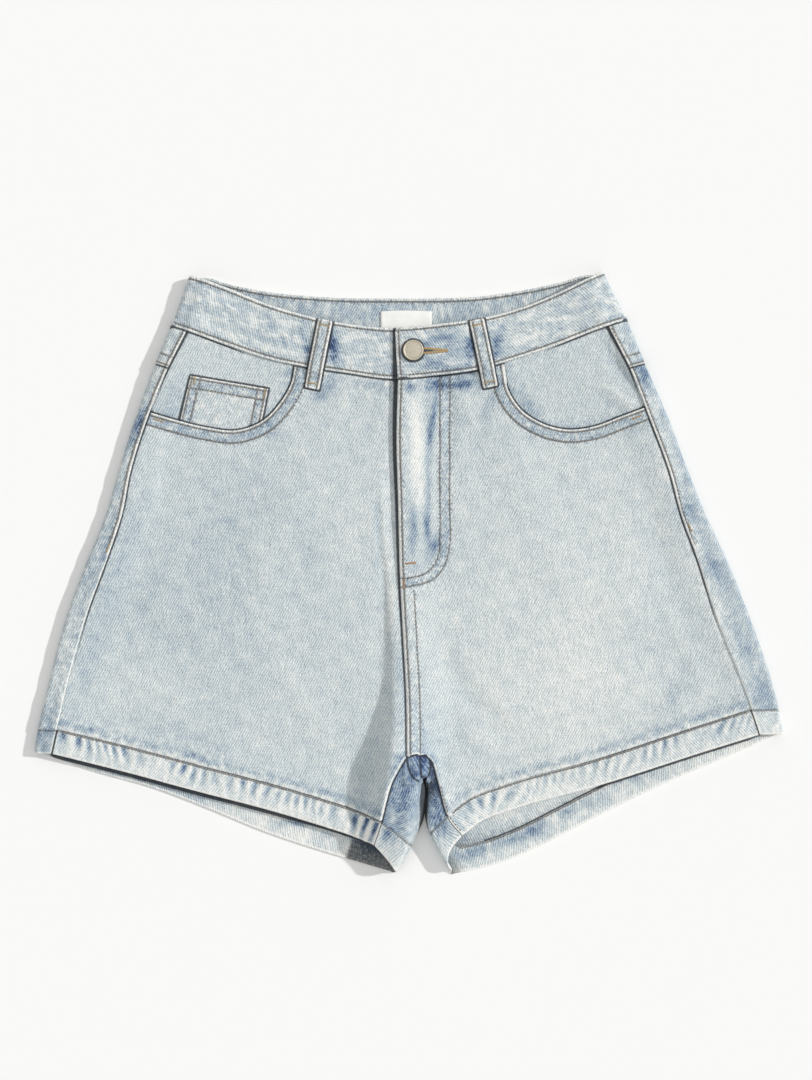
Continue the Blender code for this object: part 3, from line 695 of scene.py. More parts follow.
def cut_of(rows, closed=False):
    """The cut's longest row, its longest column and its area, in metres and square metres."""
    count = min(len(row) for row in rows)
    grid = np.array([row[:count] for row in rows]) * MM
    if closed:
        grid = np.concatenate([grid, grid[:, :1]], axis=1)
    across, down = np.diff(grid, axis=1), np.diff(grid, axis=0)
    area = np.linalg.norm(np.cross(across[:-1], down[:, :-1]), axis=2).sum()
    width = max(np.linalg.norm(np.diff(row, axis=0), axis=1).sum() for row in rows) * MM
    return width, np.linalg.norm(down, axis=2).sum(0).max(), area


# %% [markdown]
# ## Where the wash left its blue, and where shade is painted
# Stone-washed denim pales on every high place and keeps its indigo in every hollow. Patches are
# placed as soft ovals, and each small rise or dip of a sheet adds to them on its own.

# %% Patches of the wash and of painted shade
# x, y of the middle, bearing, half length, half width, how blue. Below zero is paler. Two patches
# are painted shade: at -35, -160 beside the crotch ridge's shadow, and at -64, 157 beside the end
# of the right belt loop.
PATCHES = (
    (20, 127, 81, 26, 2.6, 0.5), (16, 68, 90, 30, 2.4, 0.26), (14.5, 39, 95, 13, 3, 0.44),
    (3, 40, 88, 16, 3.4, 0.3), (22, 23, 60, 12, 5, 0.36), (7, 101, 92, 50, 5, -0.28),
    (22, 152, 8, 9, 4, 0.42), (44, 153, 8, 11, 3.5, 0.34), (2, 151, 0, 5, 5, 0.34),
    (40, 120, 80, 20, 4, 0.1), (66, 138, 70, 18, 4, 0.18), (-70, 146, 40, 10, 5, 0.34),
    (-30, 152, 172, 14, 4, 0.12), (-86, 160, 172, 14, 4, 0.18), (97.6, 139, 128, 15, 5, 0.2),
    (177.5, 135, 150, 12, 5, 0.06), (186, 116, 30, 9, 4, 0.12), (190, 161, 110, 12, 6, 0.4),
    (246.6, 4, 110, 12, 6.5, 0.24), (253, -38, 110, 16, 6, -0.08), (209, 84, 110, 14, 6, -0.12),
    (227.5, 51, 110, 11, 6, 0.28), (270, -57, 110, 14, 6, 0.1), (285, -101, 110, 11, 8, 0.26),
    (184, 135, 30, 12, 8, -0.1), (241, -14, 112, 40, 7, -0.09), (-296, -120, 70, 14, 7, 0.22),
    (-250, 20, 72, 40, 7, 0.16), (-220, 120, 68, 18, 4, 0.5), (220, -95, 60, 26, 9, 0.1),
    (-155, 5, 80, 100, 55, 0.09), (-255, -55, 75, 60, 12, 0.12), (-193, 142, 75, 18, 9, 0.12),
    (172, 225, 120, 30, 8, 0.05), (0, -194, 80, 22, 10, 0.16), (-10, -152, 70, 9, 5, 0.2),
    (70, -222, 18, 50, 6, 0.36), (120, -105, 100, 60, 40, -0.06), (163, -88, 165, 26, 15, -0.09),
    (30, -70, 95, 35, 8, -0.06), (75, -125, 100, 50, 26, -0.04), (-84, 30, 100, 40, 12, 0.05),
    (73, 217, 8, 60, 8, -0.03), (128, 238, 15, 22, 6, -0.13), (90, 188, 10, 16, 7, -0.08),
    (10, -135, 95, 40, 12, 0.14), (34, 186, 178, 24, 9, 0.14), (38, 159, 176, 34, 9, 0.2),
    (-37, 162, 0, 8, 7, -0.1), (-228, 25, 74, 50, 11, 0.12), (-232, -70, 75, 30, 10, 0.05),
    (-222, -133, 165, 24, 9, -0.06), (250, -133, 20, 26, 8, 0.09), (147, -187, 20, 32, 6, 0.26),
    (-115, 115, 160, 14, 8, 0.18), (98, 112, 10, 22, 6, 0.07), (-64, 157, 20, 8, 6, 0.15),
    (-28, 203, 175, 12, 12, 0.06), (-172, 214, 20, 14, 10, 0.06), (-25, 25, 90, 35, 5, 0.14),
    (5, 25, 90, 25, 4, 0.18), (-6, -80, 90, 40, 6, 0.1), (-35, -160, 80, 25, 6, 0.09),
    (-215, -20, 60, 30, 12, 0.06), (45, -195, 40, 14, 10, 0.16), (-25, -200, 140, 12, 8, 0.16),
    (-200, -130, 165, 60, 8, 0.1), (140, -35, 100, 110, 60, -0.06), (-83, 184, 102, 15, 4, 0.38),
    (-62, 185, 102, 15, 5, 0.66), (50.5, 183, 80, 15, 4, 0.55), (72, 186, 80, 15, 4, 0.5),
    (22, 190, 20, 13, 4, 0.26), (20, 170, 160, 13, 4, 0.26), (-4.5, -178, 80, 22, 10, 0.4),
    (8, -157, 0, 11, 10, 0.38), (20, -182, 95, 24, 7, 0.5), (-17, -211, 60, 9, 6, 0.45),
    (29, -207, 110, 9, 6, 0.45),
)


def wash(x, y):
    """How blue the cloth stayed, from the listed patches; two of them are painted shade."""
    return soft_ovals(PATCHES, x, y)


print("patches:", len(PATCHES))

# %% [markdown]
# ## Materials
# Denim is a twill: blue threads run up the leg, white ones across, and they meet in steep diagonal
# ribs. One group of nodes draws the ribs and slubs, one the cloudy wash, one the wear along edges
# together with dark seam lines and lines of painted shade.
# Each denim takes the same groups with its own values, so all pieces look cut from one dyed roll.


# %% A short way to lay out nodes
PER_MM = (1 / MM, 1 / MM, 1 / MM)


class Board:
    """A node tree with short ways to add nodes and wires."""

    def __init__(self, tree):
        self.tree = tree

    def node(self, kind, wires=None, **settings):
        made = self.tree.nodes.new("ShaderNode" + kind)
        for name, value in settings.items():
            setattr(made, name, value)
        for key, value in (wires or {}).items():
            self.wire(value, made.inputs[key])
        return made

    def wire(self, value, socket):
        if isinstance(value, bpy.types.NodeSocket):
            self.tree.links.new(value, socket)
        else:
            socket.default_value = value

    def sum(self, operation, first, second=0.0, third=None, clamp=False):
        made = self.node("Math", {0: first, 1: second}, operation=operation, use_clamp=clamp)
        if third is not None:
            self.wire(third, made.inputs[2])
        return made.outputs[0]

    def fit(self, value, low, high, to_low=0.0, to_high=1.0, smooth=True):
        made = self.node("MapRange", {"Value": value, "From Min": low, "From Max": high})
        made.interpolation_type = "SMOOTHSTEP" if smooth else "LINEAR"
        made.inputs["To Min"].default_value = to_low
        made.inputs["To Max"].default_value = to_high
        return made.outputs["Result"]

    def noise(self, vector, scale, detail=2.0, roughness=0.5):
        wires = {"Vector": vector, "Scale": scale, "Detail": detail, "Roughness": roughness}
        return self.node("TexNoise", wires).outputs["Fac"]

    def scaled(self, vector, amounts):
        made = self.node("VectorMath", {0: vector, 1: amounts}, operation="MULTIPLY")
        return made.outputs["Vector"]

    def plus(self, first, second):
        return self.sum("ADD", first, second)

    def times(self, first, second):
        return self.sum("MULTIPLY", first, second)

    def times_plus(self, first, second, third):
        return self.sum("MULTIPLY_ADD", first, second, third)

    def about(self, value):
        """A noise moved to lie about nought."""
        return self.sum("SUBTRACT", value, 0.5)

    def weave_mm(self):
        """Where a point lies in the weave, in mm."""
        return self.scaled(self.node("UVMap", uv_map="weave").outputs["UV"], PER_MM)

    def bump(self, height, strength, millimetres):
        wires = {"Height": height, "Strength": strength, "Distance": millimetres * MM}
        return self.node("Bump", wires).outputs["Normal"]

    def mark(self, name):
        return self.node("Attribute", attribute_name=name).outputs["Fac"]

    def mix(self, share, first, second):
        made = self.node("Mix", data_type="RGBA")
        for socket, value in (("Factor_Float", share), ("A_Color", first), ("B_Color", second)):
            self.wire(value, next(s for s in made.inputs if s.identifier == socket))
        return next(s for s in made.outputs if s.identifier == "Result_Color")

    def colours(self, value, stops):
        made = self.node("ValToRGB", {"Fac": value})
        ramp_stops = made.color_ramp.elements
        for k, (place, colour) in enumerate(stops):
            stop = ramp_stops[k] if k < 2 else ramp_stops.new(place)
            stop.position = place
            stop.color = (*colour, 1.0)
        return made.outputs["Color"]


def blank_finish(name):
    """A new material, its board and its Principled shader."""
    made = bpy.data.materials.new(name)
    made.use_nodes = True
    return made, Board(made.node_tree), made.node_tree.nodes["Principled BSDF"]


def shader_group(name, inputs, outputs):
    """An empty node group with named sockets, and its board, inputs and output node."""
    tree = bpy.data.node_groups.new(name, "ShaderNodeTree")
    for label, value in inputs:
        socket = tree.interface.new_socket(name=label, in_out="INPUT", socket_type="NodeSocketFloat")
        socket.default_value = value
    for label in outputs:
        tree.interface.new_socket(name=label, in_out="OUTPUT", socket_type="NodeSocketFloat")
    board = Board(tree)
    return tree, board, tree.nodes.new("NodeGroupInput").outputs, tree.nodes.new("NodeGroupOutput").inputs


def use_group(board, tree, **values):
    """Puts a group in a board; underscores in the keywords stand for spaces."""
    made = board.node("Group")
    made.node_tree = tree
    for name, value in values.items():
        board.wire(value, made.inputs[name.replace("_", " ").capitalize()])
    return made.outputs


# %% [markdown]
# ### Twill
# The ribs lean up to the right. Slubs are places where a thread is thicker: long and thin up the
# leg for the blue threads, short and level for the white ones. Both are noise stretched one way.

# %% Twill group
twill, board, given, result = shader_group(
    "Twill", (("Pitch", 1.6), ("Slubs", 0.5), ("Grain", 0.5)), ("Pale", "Height")
)
in_mm = board.weave_mm()
place = board.node("SeparateXYZ", {0: in_mm}).outputs
lean = board.plus(board.times(place["X"], -0.891), board.times(place["Y"], 0.454))
wander = board.noise(board.scaled(in_mm, (0.16, 0.16, 1)), 1.0, 2.0)
phase = board.plus(board.sum("DIVIDE", lean, given["Pitch"]), board.times(wander, 1.1))
rib = board.sum("SINE", board.times(phase, 2 * math.pi))
beads = board.sum("SINE", board.times(place["Y"], 2 * math.pi / 0.9))
warp_slub = board.noise(board.scaled(in_mm, (1.7, 0.07, 1)), 1.0, 3.0, 0.6)
weft_slub = board.noise(board.scaled(in_mm, (0.09, 1.6, 1)), 1.0, 3.0, 0.6)
fleck = board.noise(in_mm, 0.62, 3.0, 0.75)
peel = board.noise(board.scaled(in_mm, (0.30, 0.22, 1)), 1.0, 2.0, 0.5)
slub = board.sum("SUBTRACT", board.plus(warp_slub, weft_slub), 1.0)
pale = board.plus(board.times(rib, 0.30), board.times(beads, 0.08))
pale = board.times_plus(slub, given["Slubs"], pale)
pale = board.times_plus(board.about(fleck), given["Grain"], pale)
board.wire(pale, result["Pale"])
height = board.times_plus(slub, 0.9, board.times(rib, 0.3))
height = board.times_plus(peel, 3.4, height)
board.wire(board.times_plus(fleck, 1.5, height), result["Height"])
print("group:", twill.name)

# %% [markdown]
# ### Wash
# The cloudiness of a stone wash runs across seams, because the whole garment was tumbled after it
# was sewn. So this group reads the object's own coordinates and not the weave's.

# %% Wash group
clouds, board, given, result = shader_group(
    "Wash clouds", (("Clouds", 0.5), ("Streaks", 0.4), ("Mottle", 0.4)), ("Level", "Broken")
)
place = board.node("TexCoord").outputs["Object"]
large = board.noise(board.scaled(place, (20, 14, 14)), 1.0, 3.0, 0.55)
streak = board.noise(board.scaled(place, (150, 22, 22)), 1.0, 3.0, 0.6)
small = board.noise(board.scaled(place, (120, 95, 95)), 1.0, 4.0, 0.65)
level = board.times(board.about(large), given["Clouds"])
level = board.times_plus(board.about(streak), given["Streaks"], level)
level = board.times_plus(board.about(small), given["Mottle"], level)
board.wire(level, result["Level"])
torn = board.noise(board.scaled(place, (170, 150, 150)), 1.0, 4.0, 0.65)
board.wire(board.fit(torn, 0.36, 0.64, 0.75, 1.25), result["Broken"])
print("group:", clouds.name)

# %% [markdown]
# ### Crumples
# Near seams the cloth keeps small sharp creases, because the thread shrank and it could not. Where
# a noise crosses its middle value it draws a thin winding line, which is the floor of such a crease.

# %% Crumple group
crumples, board, given, result = shader_group(
    "Crumples", (("Across", 0.3), ("Down", 0.2), ("Depth", 0.5)), ("Pale", "Height")
)
in_mm = board.weave_mm()
stretch = board.node("CombineXYZ", {"X": given["Across"], "Y": given["Down"], "Z": 1.0}).outputs["Vector"]
hill = board.noise(board.scaled(in_mm, stretch), 1.0, 3.0, 0.50)
other = board.noise(board.scaled(board.scaled(in_mm, stretch), (-1.9, 2.1, 1)), 1.0, 2.0, 0.5)
crease = board.fit(board.sum("ABSOLUTE", board.about(hill)), 0.0, 0.045, 1.0, 0.0)
crease = board.times(crease, board.fit(other, 0.40, 0.58))
shade = board.times_plus(board.about(hill), 4.0, board.times(crease, -0.7))
board.wire(board.times(shade, given["Depth"]), result["Pale"])
height = board.times_plus(hill, 7.0, board.times(crease, -1.2))
board.wire(board.times(height, given["Depth"]), result["Height"])
print("group:", crumples.name)

# %% [markdown]
# ### Worn edges and stitched rows
# A folded edge loses its dye down to white, in a line as wide as the fold. The groove-and-shade
# mark draws a thin near-black line: partly a seam's own unfaded indigo, partly painted shade in gaps
# and under edges. Along a row of stitches it puckers.

# %% Wear group
wear, board, given, result = shader_group(
    "Seam wear",
    (("Edge width", 1.5), ("Groove width", 0.7), ("Row width", 1.3)),
    ("Edge", "Groove", "Row", "Pucker"),
)
in_mm = board.weave_mm()
ragged = board.about(board.noise(in_mm, 0.45, 3.0, 0.65))
fine = board.about(board.noise(in_mm, 1.6, 2.0, 0.6))
ragged = board.times_plus(fine, 0.6, ragged)
for mark, label, amount in (("worn", "Edge", 1.4), ("groove", "Groove", 0.9), ("row", "Row", 0.8)):
    distance = board.times_plus(ragged, amount, board.mark(mark))
    inner = board.times(given[label + " width"], 0.7)
    outer = board.times(given[label + " width"], 1.3)
    board.wire(board.fit(distance, inner, outer, 1.0, 0.0), result[label])
drawn = board.about(board.noise(in_mm, 0.42, 2.0, 0.55))
near = board.fit(board.mark("row"), 1.5, 4.5, 1.0, 0.0)
board.wire(board.times(drawn, near), result["Pucker"])
print("group:", wear.name)

# %% [markdown]
# ### The denims
# One scale of colour runs from deep indigo to bare cotton. Clouds, patches, ribs, edges and rows
# only move each point up or down that scale, as abrasion does on the real cloth, and painted shade
# moves it down the same way. The groove-and-shade mark then mixes in near black.

# %% Denim materials
INDIGO_SCALE = (
    (0.0, (0.030, 0.057, 0.145)),
    (0.18, (0.108, 0.168, 0.288)),
    (0.36, (0.243, 0.324, 0.424)),
    (0.54, (0.395, 0.472, 0.535)),
    (0.7, (0.555, 0.625, 0.652)),
    (0.85, (0.695, 0.735, 0.730)),
    (1.0, (0.870, 0.872, 0.845)),
)


def denim(name, base, across=0.20, down=0.20, calm=0.03, busy=0.17, edge=0.40):
    """A washed twill: how pale it is, how its crumples are stretched and how strong they are."""
    made, board, skin = blank_finish(name)
    ribs = use_group(board, twill, pitch=1.9, slubs=0.8, grain=1.5)
    cloudy = use_group(board, clouds, clouds=0.16, streaks=0.10, mottle=0.09)
    depth = board.times_plus(board.mark("busy"), busy, calm)
    creased = use_group(board, crumples, across=across, down=down, depth=depth)
    worn = use_group(board, wear, edge_width=1.7, groove_width=1.4, row_width=0.9)
    level = board.plus(cloudy["Level"], base)
    blue = board.times(board.mark("wash"), cloudy["Broken"])
    level = board.sum("SUBTRACT", level, blue)
    level = board.times_plus(ribs["Pale"], 0.44, level)
    level = board.plus(creased["Pale"], level)
    level = board.times_plus(worn["Edge"], edge, level)
    level = board.times_plus(worn["Pucker"], 0.9, level)
    colour = board.colours(level, INDIGO_SCALE)
    sewn = board.mix(board.times(worn["Row"], 0.60), colour, (0.105, 0.100, 0.098, 1.0))
    # The groove-and-shade mark turns the cloth near black: partly a seam's own unfaded indigo, partly painted
    # shade in gaps, under edges and round the loops and the button.
    dark = board.mix(board.times(worn["Groove"], 0.90), sewn, (0.030, 0.034, 0.044, 1.0))
    board.wire(dark, skin.inputs["Base Color"])
    rough = board.fit(worn["Edge"], 0.0, 1.0, 0.92, 0.80, smooth=False)
    board.wire(rough, skin.inputs["Roughness"])
    skin.inputs["Sheen Weight"].default_value = 0.08
    skin.inputs["Sheen Roughness"].default_value = 0.6
    skin.inputs["Specular IOR Level"].default_value = 0.25
    relief = board.plus(ribs["Height"], creased["Height"])
    relief = board.times_plus(worn["Pucker"], 7.0, relief)
    board.wire(board.bump(relief, 0.9, 0.35), skin.inputs["Normal"])
    return made


washed_denim = denim("washed_denim", 0.75)
facing_denim = denim("facing_denim", 0.74)
band_denim = denim("waistband_denim", 0.735, across=0.075, down=0.17, busy=0.24, edge=0.30)
hem_denim = denim("hem_denim", 0.79, across=0.14, down=0.10, busy=0.13, edge=0.30)
wrong_side = denim("denim_wrong_side", 0.83, busy=0.12)
band_inside = denim("waistband_wrong_side", 0.64, across=0.17, down=0.08, busy=0.22, edge=0.2)
denims = (washed_denim, facing_denim, band_denim, hem_denim, wrong_side, band_inside)
print("denims:", [finish.name for finish in denims])


# %% [markdown]
# ## Front panels
# The left front laps over the right one at the fly. Each panel is a patch between its four sewn
# edges. Edges that another piece covers run on under it for a few millimetres, as the seam
# allowance does, and edges that show are rolled down over their last millimetre.

# %% Pocket mouths, fly stitching and their raised bands
# Rows of stitches: their distances in from the pocket mouth and from the centre seam.
MOUTH_ROWS = (2.2, 10.2)
SEAM_ROWS = (2.5, 10.9)
FLY_ROW = 3.0
WAIST_POINTS, MOUTH_LENGTH = 50, 158.0
# The share of a front's length that its rise takes, above the inseam.
RISE_SHARE = 0.8
# The fly's two curved rows, from the waist seam to the centre seam. x, y
J_OUTER = (
    (33.6, 170), (33.5, 110), (33.4, 60), (33.2, 21.3), (29.9, 7.4), (20.1, -4.9), (5.3, -9.8),
    (-7.6, -11.8),
)
J_INNER = (
    (25.6, 170), (25.5, 110), (25.4, 60), (25.6, 33.6), (25, 17.2), (21.6, 7.6), (15.2, 0.8),
    (4, -3.2), (-7.2, -4.6),
)


def dimples(distance, rows, depth, width=0.9):
    """Grooves pressed by rows of stitches, at distances from an edge."""
    return -depth * sum(bell(distance - row, width) for row in rows)


def inside(points, polygon):
    """True where a plan point lies inside a closed polygon."""
    x, y = points[..., 0], points[..., 1]
    found = np.zeros(x.shape, bool)
    for (ax, ay), (bx, by) in zip(polygon, np.roll(polygon, -1, axis=0)):
        if ay != by:
            found ^= ((ay > y) != (by > y)) & (x < (bx - ax) * (y - ay) / (by - ay) + ax)
    return found


def front_plan(side):
    """The front panel's plan points, its covered edges run on under their neighbours."""
    sign = side["sign"]
    waist = np.linspace(0, 1, WAIST_POINTS)
    along = stations(MOUTH_LENGTH, CELL, False, False)
    mouth = rail(run_on(side["mouth"], TUCK, TUCK), along)
    start = centre_x(158.0) + (0 if side is LEFT else LAP)
    u = np.concatenate([waist[:-1] / 3, 1 / 3 + along * 2 / 3])
    at_waist = slice(0, WAIST_POINTS)
    if side is LEFT:
        u[at_waist] = np.interp(waist, [0, 0.012, 1], [0, 0.004, 1]) / 3
    across = start + (mouth[0, 0] - start) * u[at_waist] * 3
    top = np.vstack([np.zeros((WAIST_POINTS - 1, 2)), mouth])
    top[at_waist] = np.column_stack([across, waist_seam_y(across) + TUCK])
    rise = stations(305, CELL, last=False)[:-1]
    leg = stations(58, 1.5, False, False)
    v = np.concatenate([rise * RISE_SHARE, RISE_SHARE + (1 - RISE_SHARE) * leg])
    stitch = beside(hem_lines(side, u)[0], -sign * 1.5)
    on_rise = v < RISE_SHARE
    lower = inner_rows(side, (v[~on_rise] - RISE_SHARE) / (1 - RISE_SHARE) * STITCH_ROW)[:, :2]
    level = top[0, 1] + (lower[0, 1] - top[0, 1]) * v[on_rise] / RISE_SHARE
    lapped = lap_share(level)
    covered = (LAP * lapped + 2.0 * (1 - lapped)) if sign < 0 else 0 * lapped
    centre = np.column_stack([centre_x(level) + covered, level])
    inner = np.vstack([centre, lower])
    level = top[-1, 1] + (stitch[-1, 1] - top[-1, 1]) * v
    outer = np.column_stack([seam_x(side, level) + sign * TUCK, level])
    stitch[0], stitch[-1], top[-1] = inner[-1], outer[-1], outer[0]
    return coons(top, stitch, inner, outer, u, v)


print("stitched bands:", MOUTH_ROWS, SEAM_ROWS)


# %% Lines round a front
def edges_of(side):
    """The sewn lines round a front, as plan lines."""
    level = np.linspace(215, -150, 120)
    x = np.linspace(centre_x(158.0), side["band_seam"][0], 80)
    shares = np.linspace(0, 1, 60)
    return {
        "mouth": rail(run_on(side["mouth"], TUCK, TUCK), shares),
        "centre": np.column_stack([centre_x(level[level < 175]), level[level < 175]])[:-1],
        "inseam": inner_rows(side, shares * EDGE_ROW)[:, :2],
        "side": np.column_stack([seam_x(side, level), level]),
        "waist": np.column_stack([x, waist_seam_y(x)]),
        "hem": hem_lines(side, shares)[0],
        "hem_edge": hem_lines(side, shares)[1],
    }


print("right front's lines in mm:", {name: round(walked(line)[-1]) for name, line in edges_of(RIGHT).items()})


def nearest(*distances):
    """The smallest of several distances, point by point."""
    return np.minimum.reduce(distances)


def to_loops(points):
    """How far each point is from the outline of the nearest belt loop."""
    found = []
    for top, bottom in LOOPS.values():
        ends = np.array([top, bottom], float)
        run = ends[1] - ends[0]
        across = run[::-1] * [-1, 1] * LOOP_WIDTH / 2 / np.linalg.norm(run)
        corners = [ends[0] - across, ends[0] + across, ends[1] + across, ends[1] - across]
        found.append(reach(points, np.array([*corners, corners[0]])))
    return np.minimum(*found)


def mouth_band(to):
    """1 on the doubled band along a pocket mouth."""
    return 1 - ramp(to["mouth"], MOUTH_ROWS[1] - 0.5, MOUTH_ROWS[1] + 1.0)


def puckers(x, y, to):
    """The small rises and dips that a shrunk seam draws beside the hem and the waistband."""
    return uneven(x, y, 8, 4.1) * bell(to["hem"], 9) + uneven(x, y, 9, 5.3) * bell(to["waist"], 8)


# %% Shape of a front
def front_shape(side, plan, to, fly_lines, worn):
    """Height of each point of a front's outer face."""
    x, y = plan[..., 0], plan[..., 1]
    z = cloth_height(x, y) + 0.55 * mouth_band(to) + dimples(to["mouth"], MOUTH_ROWS, 0.28)
    # The inseam's allowance is a low shelf, with a welt beside the seam.
    z += 0.3 * (1 - ramp(to["inseam"], 6, 8)) + 0.8 * bell(to["inseam"] - 1.8, 1.7)
    if side is LEFT:
        # This front laps over the other. The fly facing and the felled centre seam lift it.
        z += lap_rise(x, y)
        fly = np.vstack([fly_lines[0], [[-40, -11.8], [-40, 170]]])
        shelf = np.where(inside(plan, fly), 1, -1) * reach(plan, fly_lines[0])
        z += 0.45 * ramp(shelf, -0.8, 1.0)
        felled = (y < -14) * (1 - ramp(to["centre"], 10.4, 12.2)) * ramp(to["centre"], 0, 1.5)
        z += 0.45 * felled
        z += dimples(to["centre"], SEAM_ROWS, 0.25) * ramp(-y, 8, 16)
        z += sum(dimples(reach(plan, line), (0,), 0.25) for line in fly_lines)
    else:
        # This front dips where it goes under the other.
        tuck = ramp(x - centre_x(y), -0.6, 0.6) * (1 - lap_share(y))
        z -= 1.2 * tuck + 1.6 * bell(x - centre_x(y) + 1, 5) * ramp(y, -60, 60)
    # Finished edges roll down, and seams are drawn down where the next piece is sewn on.
    z -= droop(worn) + 0.55 * bell(to["side"], 2.2) + bell(to["hem"], 1.8)
    return z + 0.22 * puckers(x, y, to)


# %% Looks of a front
def front_looks(side, plan, to, fly_lines):
    """How blue and how crumpled each point of a front is."""
    x, y = plan[..., 0], plan[..., 1]
    # Above the hem's stitches a blue hollow lies beside a pale ridge.
    over_hem = 0.22 * bell(to["hem"] - 6.5, 3.2) * (0.7 + 0.5 * uneven(x, y, 21, 6.1))
    blue = wash(x, y) - 0.16 * puckers(x, y, to) + over_hem
    blue -= 0.16 * bell(to["hem"] - 1.5, 1.6)
    # Doubled cloth stays bluer, and what stands up is paler than what lies low.
    stands_up = np.maximum(crease_heights(x, y), -0.8)
    blue += 0.12 * mouth_band(to) - 0.10 * stands_up - 0.05 * uneven(x, y, 17, 2.9)
    busy = np.exp(-((to["mouth"] / 10.5) ** 6)) + 0.9 * bell(to["hem"], 13)
    busy = busy + 0.8 * bell(to["waist"], 16) + 0.6 * bell(to["side"], 7)
    busy = busy + 0.7 * bell(to["inseam"], 9) + 0.5 * np.exp(-((to["centre"] / 12) ** 4))
    if side is LEFT:
        # The strip between the fly's two rows crumples and stays bluer.
        between = np.exp(-((reach(plan, 0.5 * (fly_lines[0] + fly_lines[1])) / 4.5) ** 4))
        busy = busy + between
        blue += 0.10 * between
    return blue, np.minimum(busy, 1.0)


# %% Cut and lay the fronts
fly_lines = [rail(line, np.linspace(0, 1, 70)) for line in (J_OUTER, J_INNER)]
for side in SIDES:
    plan = front_plan(side)
    y = plan[..., 1]
    to = {name: reach(plan, line) for name, line in edges_of(side).items()}
    rows = [np.abs(to["mouth"] - row) for row in MOUTH_ROWS]
    worn = nearest(to["mouth"], to["inseam"])
    # The groove-and-shade mark: dark lines at the side, waist and hem seams, partly the seams' own indigo and
    # partly painted shade, and painted shade round the belt loops' ends.
    groove = nearest(to["side"], to["waist"], to["hem"] + 0.7, to_loops(plan))
    if side is LEFT:
        below_fly = ramp(-y, 8, 16)
        rows += [reach(plan, line) for line in fly_lines]
        rows += [np.abs(to["centre"] - FLY_ROW), np.abs(to["centre"] - SEAM_ROWS[1]) + 9 * (1 - below_fly)]
        worn = nearest(worn, to["centre"])
    else:
        # The shade under the lap grows wider towards the waist.
        shade = np.interp(y, (-150, -60, 40, 150), (0.0, 0.3, 1.0, 2.4))
        in_shade = 0.4 * to["centre"] / (shade + 0.4)
        groove = nearest(groove, np.maximum(to["centre"] - shade, in_shade))
    grid = np.dstack([plan, front_shape(side, plan, to, fly_lines, worn)])
    blue, busy = front_looks(side, plan, to, fly_lines)
    marks = {"worn": worn, "groove": groove, "row": nearest(*rows), "wash": blue, "busy": busy}
    name = "front_panel_" + side["name"]
    cloth(name, grid, plan, marks, washed_denim, wrong_side, flip=side is RIGHT)

# %% [markdown]
# ## Pocket facings and the coin pocket
# The facing closes the pocket mouth from behind, so it lies one cloth lower than the front. The
# coin pocket is a small patch on the right facing, let into the same mouth.


# %% Facings
def facing_plan(side):
    """The facing's plan points, its edges run on under the front, the waistband and the side."""
    sign = side["sign"]
    mouth = rail(side["mouth"], np.linspace(0, 1, 61))
    under = beside(mouth, -sign * UNDERLAP)
    under = under[under[:, 1] < waist_seam_y(under[:, 0])]
    v, u = stations(70, CELL, False, False), stations(100, CELL, False, False)
    across = under[0, 0] + (side["band_seam"][0] + sign * TUCK - under[0, 0]) * u
    top = np.column_stack([across, waist_seam_y(across) + TUCK])
    level = top[-1, 1] + (under[-1, 1] - top[-1, 1]) * v
    outer = np.column_stack([seam_x(side, level) + sign * TUCK, level])
    corner = len(under) * 2 // 5
    inner, bottom = rail(under[: corner + 1], v), rail(under[corner:], u)
    inner[0], bottom[-1], bottom[0] = top[0], outer[-1], inner[-1]
    return coons(top, bottom, inner, outer, u, v)


COIN_TOP = ((-177.5, 160.7), (-114.4, 150.1))
COIN_BOTTOM = ((-187.0, 124.2), (-120.6, 122.0))
for side in SIDES:
    lines = edges_of(side)
    plan = facing_plan(side)
    x, y = plan[..., 0], plan[..., 1]
    to = {name: reach(plan, lines[name]) for name in ("mouth", "side", "waist")}
    deep = inside(plan, np.vstack([run_on(side["mouth"], 8, 8), [[0, -50]]]))
    below = np.where(deep, to["mouth"], -to["mouth"])
    z = cloth_height(x, y) - 1.25 - 0.9 * ramp(below, -3, 1)
    z -= 0.5 * bell(to["side"], 2.2)
    # Painted shade: a dark line along the pocket mouth under the front's edge and round the coin pocket; the
    # side and waist seams get dark lines too.
    marks = {"groove": nearest(to["mouth"], to["side"], to["waist"])}
    marks["wash"] = wash(x, y) - 0.12 * np.maximum(crease_heights(x, y), -0.8)
    # Near the mouth the facing is painted bluer as shade under the front's edge.
    marks["wash"] += 0.10 * bell(to["mouth"], 5)
    marks["busy"] = 0.15 + 0.6 * bell(to["mouth"], 8) + 0.5 * bell(to["waist"], 10)
    if side is RIGHT:
        outline = np.array([*COIN_TOP, COIN_BOTTOM[1], COIN_BOTTOM[0], COIN_TOP[0]], float)
        marks["groove"] = nearest(marks["groove"], reach(plan, outline) - 0.3)
    name = "facing_" + side["name"]
    cloth(name, np.dstack([plan, z]), plan, marks, facing_denim, wrong_side, flip=side is RIGHT)


# %% Coin pocket
COIN_TOP_ROWS, COIN_SIDE_ROWS = (2.0, 9.5), (1.8, 8.2)


def coin_plan():
    """The coin pocket's plan points, from its top edge to just under the pocket mouth."""
    u, v = stations(63, 1.4), stations(33, 1.4, last=False)
    top = np.array(COIN_TOP[0]) + (np.array(COIN_TOP[1]) - COIN_TOP[0]) * u[:, None]
    low = np.array(COIN_BOTTOM[0]) + (np.array(COIN_BOTTOM[1]) - COIN_BOTTOM[0]) * u[:, None]
    mouth = rail(MOUTH_RIGHT, np.linspace(0.2, 1, 80))[::-1]
    low[:, 1] = np.interp(low[:, 0], mouth[:, 0], mouth[:, 1]) - 2.5
    return top[None] * (1 - v)[:, None, None] + low[None] * v[:, None, None]


